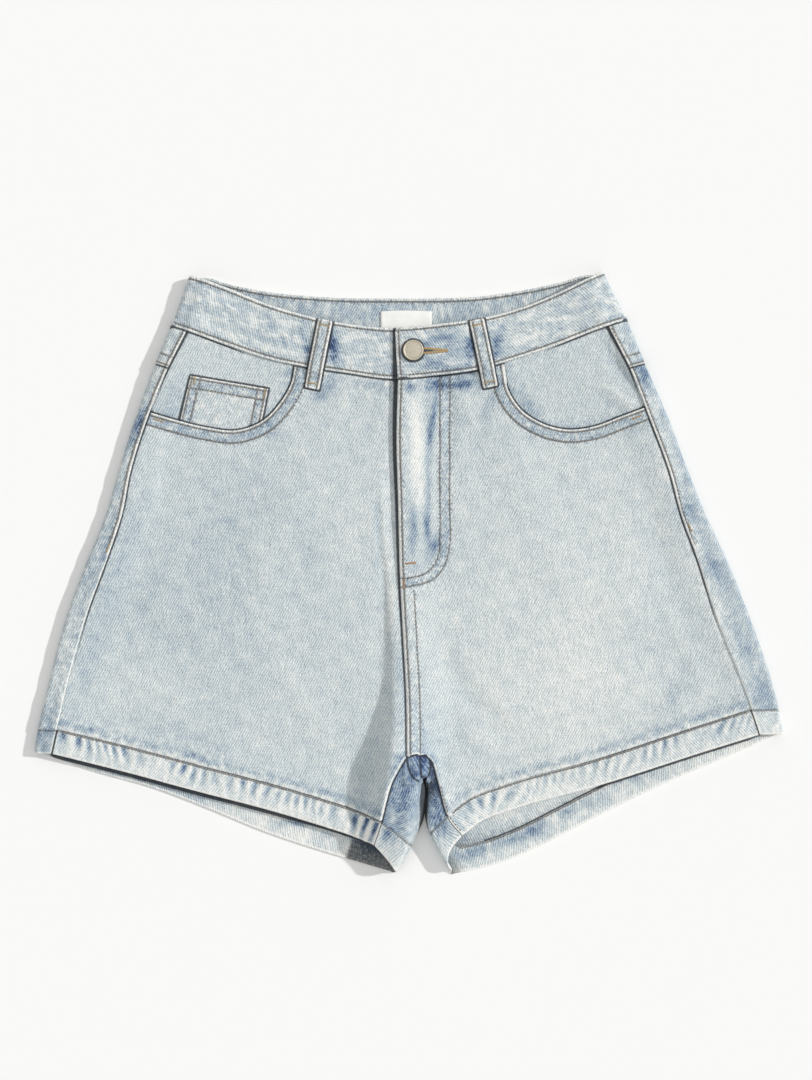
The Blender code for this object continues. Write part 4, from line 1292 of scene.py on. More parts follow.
plan = coin_plan()
x, y = plan[..., 0], plan[..., 1]
coin_lines = {
    "top": plan[0],
    "right": plan[:, 0],
    "left": plan[:, -1],
    "mouth": edges_of(RIGHT)["mouth"],
}
to = {name: reach(plan, line) for name, line in coin_lines.items()}
worn = nearest(to["top"], to["right"], to["left"])
z = cloth_height(x, y) - 0.05 - droop(worn, 0.7) - 0.7 * (1 - ramp(to["mouth"], 0, 3))
coin_rows = [np.abs(to["top"] - off) for off in COIN_TOP_ROWS]
coin_rows += [np.abs(to[edge] - off) for off in COIN_SIDE_ROWS for edge in ("right", "left")]
z += dimples(nearest(*coin_rows), (0,), 0.22)
# Painted shade: a dark line where the coin pocket goes under the pocket mouth.
marks = {"worn": worn, "groove": to["mouth"], "row": nearest(*coin_rows)}
bands = np.maximum(1 - ramp(to["top"], 9, 10.5), 1 - ramp(nearest(to["right"], to["left"]), 7.7, 9.2))
marks["wash"] = wash(x, y) + 0.05 * uneven(x, y, 14, 3.3) + 0.12 * bands - 0.05
marks["busy"] = 0.7 + 0.7 * bands
coin_grid = np.dstack([plan, z])
cloth("coin_pocket_patch", coin_grid, plan, marks, facing_denim, wrong_side, thick=0.8)

# %% [markdown]
# ## Back panels and yokes
# The back comes round to the front at each side as a narrow strip, and at the inner leg under the
# front's edge. The yoke is the shaped piece between the back panel and the waistband.


# %% Rows of a back panel
def woven(rows, sign):
    """Where each point of a wrapped row lies in the weave: its length round from the seam, and y."""
    return [np.column_stack([row[0, 0] + sign * walked(row[:, [0, 2]]), row[:, 1]]) for row in rows]


def back_rows(side, rise):
    """Rows of the back, from the yoke seam to the hem's stitch line."""
    rows = []
    upper, lower = stations(250, CELL, False, False)[:-1], stations(56, 1.5, False, False)
    saddle = inner_section(side, 0, -0.9)
    for share in upper:
        level = YOKE_SIDE + TUCK + (side["saddle_level"] - YOKE_SIDE - TUCK) * share
        y = YOKE_CENTRE + TUCK + (saddle[-1, 1] - YOKE_CENTRE - TUCK) * share
        rows.append(back_row(side, level, centre_back(side, y), yoke_dip() * (1 - share), rise))
    for share in lower[:-1]:
        level = side["saddle_level"] + (side["stitch_level"] - side["saddle_level"]) * share
        inner = inner_section(side, STITCH_ROW * share, -0.9)
        rows.append(back_row(side, level, inner, hem_sag(side) * share, rise))
    last = back_hem_row(side, 0, 0)
    last[: len(TURN)] = outer_section(side, side["stitch_level"], rise)[: len(TURN)]
    rows.append(last)
    return rows


def under_front(row):
    """A row of the back with its inner leg's edge run on under the front."""
    if len(row) <= TO_INNER:
        return row
    step = row[-1, :2] - row[-3, :2]
    step /= np.linalg.norm(step)
    more = row[-1, :2] + np.outer([1.5, 3.0], step)
    return np.vstack([row, np.column_stack([more, row[-1, 2] - np.array([0.3, 0.6])])])


def off_floor(row, height):
    """0 for points on the floor and 1 for points well above it."""
    return 1 - bell(np.maximum(row[:, 2], 0), height)


# %% Looks of a back panel
# How far the back's edge stands over the front, and how much its waist is raised to show.
BACK_RISE, BACK_SHOWS = 0.9, 3.2
# How far a row of stitches is from the side seam.
SIDE_ROW = 2.6
# The felled seam of the back rise where it comes up at the crotch: its edges and stitch rows.
RISE_SEAM = (
    ((-2, -147), (-0.4, -156.6), (2.9, -164), (8, -168)),
    ((8.9, -149), (9.3, -157), (10, -165)),
    ((16.5, -150), (17.6, -157), (16.6, -164), (12, -168.5)),
)


def back_looks(side, row, inseam_line, yoke_line, hem_line):
    """The marks of one row of a back panel, and how far each point stands out."""
    x, y, z = row.T
    outer = np.arange(len(row)) < TURNED
    off = walked(row)
    to_edge = np.where(outer, off, FAR)
    stitched = ramp(y, 8, 24)
    to_row = np.where(outer, np.abs(off - SIDE_ROW) + 9 * (1 - stitched), FAR)
    rough = 0.32 * uneven(x * 1.4, y, 21, 7.7) + 0.16 * uneven(x, y, 8, 8.2) * bell(off, 6)
    inseam = np.where(outer, FAR, reach(row, inseam_line))
    yoke_gap = np.where(outer, reach(row, yoke_line), FAR)
    hem_gap = np.where(outer | (z > 0.5), FAR, reach(row, hem_line) + 0.4)
    # Where the back rise comes up at the crotch, its felled seam rolls the cloth.
    to_rise = nearest(*(reach(row, np.array(line)) for line in RISE_SEAM))
    rise_part = ~outer & (z > 1) & (x > -4) & (x < 20) & (y > -170)
    roll = np.where(rise_part, 2.0 - 2.0 * bell(to_rise, 2.2), 0)
    to_rise = np.where(rise_part, to_rise + 0.55, FAR)
    # Low in the gap between the legs the cloth is painted darker as shade.
    turned = np.arange(len(row)) > TO_INNER - 3
    shaded = 4.5 + (6.5 if side is RIGHT else 1.4) * bell(y + 178, 15)
    deep = 0.34 * np.maximum(z - shaded, 0) + 2.0 * ramp(-y, 200, 222)
    deep = np.where(turned & (y < -150), deep, FAR)
    mottled = np.where(outer, 0.9 - 0.4 * (side is LEFT), 0.9 - 0.3 * rise_part)
    # Beside the inseam, under the front's edge, the cloth is painted bluer and darker as shade.
    blue = wash(x, y) - 0.25 * rough + 0.30 * bell(inseam, 4.0)
    rolled = roll - np.where(outer, droop(off), 0) - 0.2 * bell(to_row, 0.9)
    # Dark lines at the inseam, yoke and hem and round the rise seam's rolls are partly the seams' own indigo
    # and partly painted shade; the gap's darkening is painted shade only.
    return {
        "worn": to_edge + 0.9 * (1 - stitched),
        "groove": nearest(inseam, yoke_gap, hem_gap, to_rise, deep),
        "row": to_row,
        "wash": blue + 0.12 * (side is LEFT) * outer * ramp(off, 5, 13),
        "busy": mottled + 0.4 * bell(to_edge, 5),
        "relief": off_floor(row, 2.0) * rough * outer + rolled,
    }


# %% Cut and lay the backs
def gathered(looks):
    """The looks of many rows as one list for each mark."""
    return {key: [look[key] for look in looks] for key in looks[0]}


for side in SIDES:
    rows = [under_front(row) for row in back_rows(side, BACK_RISE)]
    inseam_line = edges_of(side)["inseam"]
    yoke_line = outer_section(side, YOKE_SIDE, BACK_RISE)[:, :2]
    hem_line = rows[-1][TURNED + 1 : TO_INNER - 4, :2]
    marks = gathered([back_looks(side, row, inseam_line, yoke_line, hem_line) for row in rows])
    shape = {"flip": side is RIGHT, "relief": marks.pop("relief")}
    name = "back_panel_" + side["name"]
    cloth(name, rows, woven(rows, side["sign"]), marks, washed_denim, wrong_side, **shape)


# %% Rows of a yoke
def back_waist_y(x, share):
    """Height up the back waistband, met smoothly by the turns at the sides."""
    ends = [waist_section(side, share, 0)[-1] for side in SIDES]
    straight = np.interp(x, [end[0] for end in ends], [end[1] for end in ends])
    near = ramp(np.minimum(x - ends[0][0], ends[1][0] - x), 0, 22)
    return straight + (back_top_y(x) + BACK_SHOWS - BAND_WIDTH * (1 - share) - straight) * near


def band_front_y(x, share):
    """Height up the front waistband: share 0 is its seam and 1 its top edge."""
    low, high = waist_seam_y(x), front_top_y(x)
    return low + (high - low) * share


def waist_section(side, share, rise):
    """The turn at the side, at a share of the waistband's width up from its seam."""
    low, high = (np.array(place, float) for place in side["band_fold"])
    x = side["band_seam"][0] + (side["band_seam"][1] - side["band_seam"][0]) * share
    plan = np.array([x, float(band_front_y(x, share))])
    height = float(cloth_height(*plan)) + BAND_PROUD + rise
    return turned_under(plan, low + (high - low) * share, height)


def yoke_rows(side):
    """Rows of the yoke, from under the waistband to the yoke seam."""
    waist = waist_section(side, 0, -0.9)
    waist[:, 1] += TUCK
    x = waist[-1, 0] + (CENTRE_BACK_TOP - waist[-1, 0]) * FLOOR[1:]
    floor = np.column_stack([x, back_waist_y(x, 0) + TUCK, np.zeros(len(x))])
    first = np.vstack([waist, floor])
    last = back_row(side, YOKE_SIDE, centre_back(side, YOKE_CENTRE), yoke_dip(), BACK_RISE + 0.8)
    return [first + (last - first) * share for share in stations(32, 1.3, first=False)]


# %% Looks of a yoke
YOKE_ROWS = (1.8, 9.4)


def yoke_looks(side, row, lowest):
    """The marks of one row of a yoke, and how far each point stands out."""
    x, y = row[:, 0], row[:, 1]
    outer = np.arange(len(row)) < TURNED
    off, low_edge = walked(row), np.linalg.norm(row - lowest, axis=1)
    to_rows = [np.abs(low_edge - row_off) for row_off in YOKE_ROWS] + [np.abs(off - SIDE_ROW)]
    to_row = np.where(outer, nearest(*to_rows), FAR)
    rough = 0.25 * uneven(x * 1.4, y, 14, 9.7)
    bluer = 0.10 * (side is LEFT) * outer * ramp(off, 5, 13)
    felled = 0.3 * (1 - ramp(low_edge, 9, 10.5))
    shape = rough + felled - 0.25 * bell(to_row, 0.9) - droop(np.minimum(off, low_edge))
    return {
        "worn": np.where(outer, np.minimum(off, low_edge), FAR),
        # A dark line along the waistband's edge: partly the seam's own indigo, partly painted shade.
        "groove": np.where(outer, np.abs(y - waist_seam_y(x)), FAR),
        "row": to_row,
        "wash": wash(x, y) - 0.25 * rough + bluer,
        "relief": off_floor(row, 2.0) * outer * shape,
    }


for side in SIDES:
    rows = yoke_rows(side)
    marks = gathered([yoke_looks(side, row, rows[-1]) for row in rows]) | {"busy": 0.9}
    shape = {"flip": side is RIGHT, "relief": marks.pop("relief")}
    name = "yoke_panel_" + side["name"]
    cloth(name, rows, woven(rows, side["sign"]), marks, washed_denim, wrong_side, **shape)

# %% [markdown]
# ## Hems
# The bottom of each leg is folded up twice and sewn. The two layers never lie quite square, so a
# washed hem twists like a rope: slanted puckers, pale on top and blue between.


# %% Turned-up hems
def hem_rows(side):
    """Closed rows round the leg, from the stitch line to the folded edge."""
    shares = stations(HEM_WIDTH, 1.2)
    length = walked(rail(side["hem"], np.linspace(0, 1, 50)))[-1]
    stitch, edge = hem_lines(side, stations(length, 1.4, False, False))
    rows = []
    for share in shares:
        back = back_hem_row(side, share, 0.35)
        plan = stitch + (edge - stitch) * share
        front = np.column_stack([plan, cloth_height(plan[:, 0], plan[:, 1])])
        count = np.arange(len(front))
        front[:, 2] += 0.35 * (1 - ramp(count, 0, 4) + ramp(count, len(front) - 5, len(front) - 1))
        front[0], front[-1] = back[-1], back[0]
        rows.append(np.vstack([back[:-1], front[:-1]]))
    return rows, shares, len(back) - 1


def hem_rope(side, along, down, leg_gap, on_back):
    """The twist of a washed hem: slanted dips and rises, stronger near the inner leg."""
    sign = side["sign"]
    slant = (along + (0.30 + 0.22 * sign) * down) / 9.5 + 0.8 * uneven(along, down, 80, 3.7)
    slant = slant + 0.35 * uneven(along, down, 37, 8.3)
    patchy = np.clip(0.5 + 0.8 * uneven(along, down, 60, 5.9), 0.05, 1.4)
    deep = 5.5 + 1.5 * uneven(along, down, 33, 2.2)
    around = slant * 2 * math.pi
    rope = -ramp(np.sin(around), -0.5, 1.0) * patchy * bell(down - deep, 6.0)
    rope = rope + 0.35 * ramp(np.sin(around + math.pi), 0.2, 1.0) * patchy
    drawn = np.where(on_back, 0, np.cos(leg_gap / 8.0 * 2 * math.pi) * bell(leg_gap, 22))
    return rope * (0.95 - 0.15 * sign) + 0.7 * drawn * (0.7 - 0.3 * sign)


# %% Twist and lay the hems
for side in SIDES:
    lines = edges_of(side)
    rows, shares, turn = hem_rows(side)
    laid, relief = [], []
    marks = {mark: [] for mark in MARKS[:4]} | {"busy": 1.0}
    along = walked(rows[len(rows) // 2])
    for row, share in zip(rows, shares):
        x, y = row[:, 0], row[:, 1]
        down = HEM_WIDTH * share
        on_back = np.arange(len(row)) < turn
        raised = row[:, 2] > 4
        side_gap = np.where(raised, reach(row, lines["side"]), FAR)
        leg_gap = np.where(raised, reach(row, lines["inseam"]), FAR)
        seam = np.minimum(side_gap, leg_gap)
        rope = hem_rope(side, along, down, leg_gap, on_back)
        laid.append(np.column_stack([along, np.full(len(row), down)]))
        pressed = 0.35 * bell(down, 1.2) + 0.3 * bell(seam, 1.0)
        twisted = 0.6 * rope - droop(HEM_WIDTH - down, 0.9, 1.8)
        relief.append(off_floor(row, 1.5) * twisted - pressed)
        upper = nearest(np.where(on_back, side_gap, FAR), np.where(on_back, FAR, leg_gap))
        lower = np.where(on_back & (side_gap > 0.4), FAR, side_gap + 0.2)
        lower = nearest(lower, np.where(on_back | (leg_gap < 0.4), leg_gap + 0.6, FAR))
        marks["worn"].append(np.minimum(upper + 0.3, HEM_WIDTH - down))
        # Painted shade: a dark line on the floor below the front hem's edge, wider on the right leg away from
        # the crotch; on the right leg near the crotch, the crotch ridge's shadow is painted onto the back
        # hem.
        covered = 1.6 + 1.2 * (side is RIGHT) * ramp(-x, 60, 110)
        shaded = np.where(row[:, 2] < 2.0, np.maximum(reach(row, lines["hem_edge"]) - covered, 0), FAR)
        if side is RIGHT:
            beyond = ramp(x - 0.5 * (y + 230), -62, -50)
            in_shade = np.minimum(shaded, 1.16 + 3 * (1 - beyond))
            shaded = np.where(on_back & (row[:, 2] < 9.0), in_shade, shaded)
        marks["groove"].append(nearest(lower, shaded))
        marks["row"].append(np.full(len(row), abs(down - 0.7)))
        # On the right leg, the back hem's inside away from the crotch is painted bluer as shade.
        shade = 0.25 * (side is RIGHT) * on_back * ramp(-x, 130, 180)
        marks["wash"].append(shade - 0.05 - 0.50 * rope + 0.8 * wash(x, y))
    name = "hem_turnup_" + side["name"]
    looks = {"thick": 1.9, "closed": True, "flip": side is RIGHT, "relief": relief}
    cloth(name, rows, laid, marks, hem_denim, hem_denim, **looks)

# %% [markdown]
# ## Waistband
# One strip of doubled cloth, folded along its top edge. Its ends pass each other at the fly: the
# wearer's left end lies on top, with its corner rounded.


# %% Rows of the waistband
def band_lap_rise(x):
    """How far the waistband's upper end stands up to clear the end under it."""
    return BAND_LAP_STEP * (1 - ramp(x, 31, 80)) * (np.asarray(x) > -13)


BAND_END_SLANT, BAND_ROW = 2.2, 2.6


def band_rows():
    """Rows of the waistband, each round from the end under the lap to the end over it."""
    shares = stations(BAND_WIDTH, 1.5)
    rows = []
    for share in shares:
        runs = []
        for side in SIDES:
            section = waist_section(side, share, 0)
            corner = 3.4 * (1 - math.sqrt(1 - max(0.0, (share - 0.92) / 0.08) ** 2))
            end = BAND_UNDER_END if side is RIGHT else BAND_OVER_END - BAND_END_SLANT * share + corner
            along = stations(abs(section[0, 0] - end), 1.6, side is LEFT, False)
            count = 118 if side is RIGHT else 106
            along = np.interp(np.linspace(0, 1, count), np.linspace(0, 1, len(along)), along)
            x = (end + (section[0, 0] - end) * along)[:-1]
            y = band_front_y(x, share)
            lap = 0 if side is RIGHT else band_lap_rise(x)
            z = cloth_height(x, y) + BAND_PROUD + lap
            runs.append(np.vstack([np.column_stack([x, y, z]), section]))
        x = np.linspace(runs[0][-1, 0], runs[1][-1, 0], 160)[1:-1]
        back = np.column_stack([x, back_waist_y(x, share), np.zeros(len(x))])
        rows.append(np.vstack([runs[0], back, runs[1][::-1]]))
    return rows, shares


# %% Press and lay the waistband
rows, shares = band_rows()
marks = {mark: [] for mark in MARKS[:4]} | {"busy": 0.85}
laid, relief = [], []
along = walked(rows[len(rows) // 2])
for row, share in zip(rows, shares):
    x, y = row[:, 0], row[:, 1]
    up = BAND_WIDTH * share
    to_edges = [np.full(len(row), up), np.full(len(row), BAND_WIDTH - up), along[-1] - along]
    edge = nearest(*to_edges)
    to_row = nearest(*(np.abs(to_edge - BAND_ROW) for to_edge in to_edges))
    slant = (along - 0.9 * up) / 13.0 + 0.9 * uneven(along, up * 2, 50, 1.9)
    drag = np.sin(slant * 2 * math.pi) * (0.5 + 0.5 * uneven(along, up, 30, 2.3))
    laid.append(np.column_stack([along, np.full(len(row), up)]))
    dragged = 0.26 * drag - droop(edge, 0.9, 1.6)
    relief.append(off_floor(row, 1.5) * dragged - 0.25 * bell(to_row, 0.9))
    marks["worn"].append(edge)
    under = np.arange(len(row)) < len(row) // 2
    # Painted shade: a dark gap beside the upper end of the lap, a dark ring round the button, dark outlines
    # round the belt loops, and the buttonhole's slit painted dark.
    off_end = np.abs(x - BAND_OVER_END + BAND_END_SLANT * share)
    to_lap = np.where(under, np.maximum(off_end - 3.2 + 2.4 * share, 0) + 0.4, FAR)
    off_button = np.hypot(x - BUTTON_PLACE[0], y - BUTTON_PLACE[1])
    to_button = np.where(under, FAR, np.abs(off_button - BUTTON_RADIUS))
    beyond = np.clip((x - BUTTON_PLACE[0]) / (BUTTONHOLE_END - BUTTON_PLACE[0]), 0, 1.2)
    slit = np.abs(y - BUTTON_PLACE[1] + BUTTONHOLE_DROP) + 3.0 * np.maximum(beyond - 0.45, 0)
    slit = np.where(under | (x < BUTTON_PLACE[0]), FAR, slit)
    by_loops = np.where(row[:, 2] > 4, to_loops(row) - 0.3, FAR)
    marks["groove"].append(nearest(to_lap, to_button, by_loops, slit))
    marks["row"].append(to_row)
    marks["wash"].append(wash(x, y) - 0.08 * drag)
cloth("waistband_strip", rows, laid, marks, band_denim, band_inside, thick=2.4, relief=relief)

# %% [markdown]
# ## Belt loops and the label
# A belt loop is a strip sewn down at its two ends, so it stands a little off the band between them.
# The label is a plain woven tape inside the back waist.


# %% Belt loops
LOOP_ROW, LOOP_TACK = 2.3, 4.5


def loop_rows(top, bottom):
    """Rows of a belt loop, from above the waistband's top edge to below its seam."""
    top, bottom = np.array(top, float), np.array(bottom, float)
    length = np.linalg.norm(bottom - top)
    run = (bottom - top) / length
    side = np.array([-run[1], run[0]]) * LOOP_WIDTH / 2
    across = stations(LOOP_WIDTH, 1.2) * 2 - 1
    rows, marks = [], {"worn": [], "row": [], "wash": [], "busy": 0.6}
    for share in stations(length, 1.2):
        middle = top + (bottom - top) * share
        ends = min(share, 1 - share) * length
        width = 1 - 0.12 * np.clip(1 - ends / 2.0, 0, 1) ** 2
        plan = middle + across[:, None] * side * width
        clear = middle[1] - float(waist_seam_y(middle[0]))
        base = (BAND_PROUD + band_lap_rise(middle[0])) * ramp(clear, -6, -1.5) + 2.1
        arch = ramp(share, 0.02, 0.18) * (1 - ramp(share, 0.72, 0.93))
        off = np.minimum((1 - np.abs(across)) * LOOP_WIDTH / 2, ends)
        from_ends = (share * length, (1 - share) * length)
        pressed = sum(0.35 * bell(from_end - LOOP_TACK, 2.2) for from_end in from_ends)
        crown = 0.3 * (1 - across**2)
        to_row = np.abs((1 - np.abs(across)) * LOOP_WIDTH / 2 - LOOP_ROW)
        z = cloth_height(plan[:, 0], plan[:, 1]) + base + arch + crown - pressed - droop(off, 0.8, 1.4)
        z -= 0.2 * bell(to_row, 0.8)
        rows.append(np.column_stack([plan, z]))
        marks["worn"].append(off)
        marks["row"].append(to_row)
        marks["wash"].append(0.10 + 0.12 * uneven(plan[:, 0], plan[:, 1], 9, 6.6))
    return rows, marks


for name, (top, bottom) in LOOPS.items():
    rows, marks = loop_rows(top, bottom)
    laid = [row[:, :2] for row in rows]
    cloth("loop_strip_" + name, rows, laid, marks, washed_denim, wrong_side, thick=1.9)

# %% [markdown]
# The label's satin is smoother and whiter than denim, with fine level ribs.

# %% Label
label_tape, board, skin = blank_finish("label_tape")
in_mm = board.weave_mm()
rib = board.noise(board.scaled(in_mm, (0.3, 4.0, 1)), 1.0, 2.0)
spot = board.noise(in_mm, 0.12, 3.0)
satin = board.plus(board.times(rib, 0.5), board.times(spot, 0.5))
tint = board.colours(satin, ((0.25, (0.84, 0.83, 0.80)), (0.75, (0.95, 0.95, 0.93))))
board.wire(tint, skin.inputs["Base Color"])
board.wire(board.fit(rib, 0.3, 0.7, 0.55, 0.7, smooth=False), skin.inputs["Roughness"])
board.wire(board.bump(rib, 0.3, 0.1), skin.inputs["Normal"])
skin.inputs["Sheen Weight"].default_value = 0.2

LABEL_LOW, LABEL_HIGH, LABEL_LIES = 184.0, 214.0, 3.5
rows = []
for y in np.linspace(LABEL_LOW, LABEL_HIGH, 28):
    x = np.linspace(-LABEL_HALF_WIDTH, LABEL_HALF_WIDTH, 41)
    bulge = 1 - (x / LABEL_HALF_WIDTH) ** 2
    end = np.minimum(LABEL_HALF_WIDTH - np.abs(x), LABEL_HIGH - y)
    z = LABEL_LIES + 0.55 * bulge + 0.12 * uneven(x, y, 16, 2.2) - droop(end, 0.4, 1.2)
    rows.append(np.column_stack([x + LABEL_MIDDLE, y + 0.65 * bulge, z]))
laid = [row[:, :2] for row in rows]
cloth("label_tape", rows, laid, {}, label_tape, label_tape, thick=0.5, flip=True)

# %% [markdown]
# ## Tack button
# A tack button is a stamped cap on a nail: a raised rim round a shallow dish. Its profile is turned
# like a pot by the Screw modifier. Antique plating is dark in the hollows and rubbed bright on the
# rim, which a mask by height gives.

# %% Button
band_top = float(cloth_height(*BUTTON_PLACE)) + BAND_PROUD + BAND_LAP_STEP
r = BUTTON_RADIUS
# out from the middle, up from the waistband
PROFILE = (
    (0, 3.05),
    (0.30 * r, 3.03),
    (0.55 * r, 2.95),
    (0.74 * r, 2.85),
    (0.79 * r, 2.78),
    (0.83 * r, 2.95),
    (0.88 * r, 3.2),
    (0.94 * r, 3.12),
    (0.985 * r, 2.7),
    (r, 2.2),
    (0.98 * r, 1.7),
    (0.90 * r, 1.3),
    (0.6 * r, 0.9),
    (0.30 * r, 0.85),
    (0.28 * r, -2.6),
    (0, -2.6),
)
outline = [(out * MM, 0, (band_top + up) * MM) for out, up in PROFILE]
mesh = bpy.data.meshes.new("tack_button")
mesh.from_pydata(outline, [(k, k + 1) for k in range(len(PROFILE) - 1)], [])
button = bpy.data.objects.new("tack_button", mesh)
button.location = placed([*BUTTON_PLACE, 0])
shorts.objects.link(button)
turn = button.modifiers.new("turn", "SCREW")
turn.steps = turn.render_steps = 64
turn.use_merge_vertices = True
turn.merge_threshold = 0.00001
turn.use_normal_calculate = True
round_off = button.modifiers.new("round_off", "SUBSURF")
round_off.levels = round_off.render_levels = 1

plated, board, skin = blank_finish("antique_plate")
place = board.node("TexCoord").outputs["Object"]
rise = board.node("SeparateXYZ", {0: place}).outputs["Z"]
scuffs = board.noise(board.scaled(place, PER_MM), 0.8, 4.0, 0.85)
high = board.fit(rise, (band_top + 2.2) * MM, (band_top + 2.95) * MM)
share = board.sum("ADD", board.times(high, 0.6), board.times(scuffs, 0.5), clamp=True)
metal = board.colours(share, ((0.45, (0.13, 0.12, 0.09)), (1.0, (0.78, 0.72, 0.60))))
board.wire(metal, skin.inputs["Base Color"])
board.wire(board.fit(scuffs, 0.3, 0.7, 0.5, 0.7, smooth=False), skin.inputs["Roughness"])
skin.inputs["Metallic"].default_value = 1.0
board.wire(board.bump(scuffs, 0.6, 0.3), skin.inputs["Normal"])
mesh.materials.append(plated)
mesh.shade_smooth()
print("button top in mm:", round(band_top + 3.2, 1))

# %% [markdown]
# ## Stitches
# Every stitch is a small spindle of thread half sunk in the cloth. A row is placed on the finished
# sheet below it: its points are dropped on the sheet from above, and each stitch turns with the
# cloth. Bar tacks are rows of short stitches laid side by side.


# %% Thread
def thread(name, dark, light):
    """Two-ply sewing thread: a twist of light and dark along it."""
    made, board, skin = blank_finish(name)
    place = board.scaled(board.node("TexCoord").outputs["Object"], PER_MM)
    ply = board.noise(place, 1.8, 3.0, 0.6)
    fade = board.noise(place, 0.12, 2.0)
    share = board.plus(board.times(ply, 0.6), board.times(fade, 0.5))
    board.wire(board.colours(share, ((0.3, dark), (0.8, light))), skin.inputs["Base Color"])
    board.wire(board.fit(ply, 0.3, 0.7, 0.6, 0.8, smooth=False), skin.inputs["Roughness"])
    board.wire(board.bump(ply, 0.4, 0.15), skin.inputs["Normal"])
    return made


taupe_thread = thread("topstitch_thread", (0.12, 0.105, 0.085), (0.30, 0.26, 0.21))
gold_thread = thread("tack_thread", (0.36, 0.25, 0.12), (0.62, 0.48, 0.28))
rust_thread = thread("fly_tack_thread", (0.38, 0.17, 0.07), (0.62, 0.34, 0.18))

# A stitch's rings: where each is along it and how wide. Its two tips are points.
RINGS = ((-0.5, 0.0), (-0.34, 0.75), (0.0, 1.0), (0.34, 0.75), (0.5, 0.0))
RING_SIDES = 6


def spindle():
    """A stitch of unit length, width and height: points and triangles."""
    points, faces, rings = [], [], []
    around = [k * 2 * math.pi / RING_SIDES for k in range(RING_SIDES)]
    for along, size in RINGS:
        first = len(points)
        if size == 0:
            points.append((along, 0, -0.35))
        else:
            for turn in around:
                up = size * (0.35 + 0.65 * math.sin(turn)) - 0.2
                points.append((along, 0.5 * size * math.cos(turn), up))
        rings.append(range(first, len(points)))
    for one, other in zip(rings, rings[1:]):
        for k in range(RING_SIDES):
            a, b = one[k % len(one)], one[(k + 1) % len(one)]
            c, d = other[(k + 1) % len(other)], other[k % len(other)]
            if a != b:
                faces.append((a, b, c))
            if c != d:
                faces.append((a, c, d))
    return np.array(points), np.array(faces)


SPINDLE_POINTS, SPINDLE_FACES = spindle()
# Points are dropped from this height, in mm.
ABOVE_ALL = 80.0
DOWN = Vector((0, 0, -1))


def dropped(sheet, plan):
    """Where plan points land on a sheet below them: place, normal and number of each that does."""
    found, normals, landed = [], [], []
    for number, (x, y) in enumerate(plan):
        hit, normal = surfaces[sheet].ray_cast(Vector(placed([x, y, ABOVE_ALL])), DOWN)[:2]
        if hit is not None:
            found.append(hit)
            normals.append(normal if normal.z > 0 else -normal)
            landed.append(number)
    return np.array(found) / MM, np.array(normals), landed


def stitch_row(plan, pitch=3.0):
    """Middles and directions of the stitches along a plan line."""
    plan = np.asarray(plan, float)
    lengths = walked(plan)
    count = max(1, int(lengths[-1] / pitch))
    middles = (np.arange(count) + 0.5) * lengths[-1] / count
    at, ahead, behind = (at_lengths(plan, lengths, middles + step) for step in (0, 0.3, -0.3))
    return at, ahead - behind


def row_through(x, y):
    """A row of stitches along the points x, y."""
    return stitch_row(np.column_stack([x, y]))


def tack(middle, bearing, length, width=2.2, pitch=0.62):
    """A bar tack: short stitches side by side along a line."""
    turn = math.radians(bearing)
    run = np.array([math.cos(turn), math.sin(turn)])
    count = max(2, round(length / pitch))
    at = np.array(middle) + np.outer(np.linspace(-0.5, 0.5, count) * length, run)
    lean = np.where(np.arange(count) % 2, 0.35, -0.35)
    aim = np.array([-run[1], run[0]]) + lean[:, None] * run
    return at, aim, width


stitches = {}


def sew(name, sheet, rows, finish=taupe_thread, length=2.75, width=0.85, height=0.65, lift=0.0):
    """Joins rows of stitches on one sheet into one piece. A lift sews only what lies on the floor."""
    points, faces = [], []
    for at, aim, *own_length in rows:
        long = own_length[0] if own_length else length
        spots, normals, landed = dropped(sheet, at)
        for spot, normal, direction in zip(spots, normals, aim[landed]):
            if lift and spot[2] > 1.0:
                continue
            ahead = np.array([*direction, 0.0])
            ahead -= normal * (ahead @ normal)
            ahead /= np.linalg.norm(ahead)
            across = np.cross(normal, ahead)
            made = spot + [0, 0, lift] + SPINDLE_POINTS[:, :1] * long * ahead
            made = made + SPINDLE_POINTS[:, 1:2] * width * across
            made = made + SPINDLE_POINTS[:, 2:] * height * np.asarray(normal)
            faces.append(SPINDLE_FACES + len(points) * len(SPINDLE_POINTS))
            points.append(made)
    mesh = bpy.data.meshes.new(name)
    mesh.from_pydata((np.concatenate(points) * MM).tolist(), [], np.concatenate(faces).tolist())
    mesh.shade_smooth()
    mesh.materials.append(finish)
    stitches[name] = bpy.data.objects.new(name, mesh)
    shorts.objects.link(stitches[name])
    print(f"{name}: {len(points)} stitches")


# %% Rows on the fronts
INSEAM_ROW = 1.4


def below_waist(line, gap):
    """True for the points of a line that are this far below the waist seam."""
    return line[:, 1] < waist_seam_y(line[:, 0]) - gap


for side in SIDES:
    sign = side["sign"]
    mouth = rail(side["mouth"], np.linspace(0.01, 0.985, 90))
    rows = []
    for off in MOUTH_ROWS:
        line = beside(mouth, -sign * off)
        to_side = sign * (seam_x(side, line[:, 1]) - line[:, 0])
        rows.append(stitch_row(line[below_waist(line, 1.0) & (to_side > 1.5)]))
    if side is LEFT:
        for line in (J_OUTER, J_INNER):
            line = rail(line, np.linspace(0, 1, 90))
            right_of = line[:, 0] > centre_x(line[:, 1]) + 1.5
            rows.append(stitch_row(line[below_waist(line, 1.5) & right_of]))
        for off, y in ((SEAM_ROWS[1], np.linspace(-13, -146, 60)), (FLY_ROW, np.linspace(154, -146, 90))):
            rows.append(row_through(centre_x(y) + off, y))
        rows.append(stitch_row(beside(edges_of(side)["inseam"], INSEAM_ROW)[-24:-13]))
    sew("stitches_front_" + side["name"], "front_panel_" + side["name"], rows)

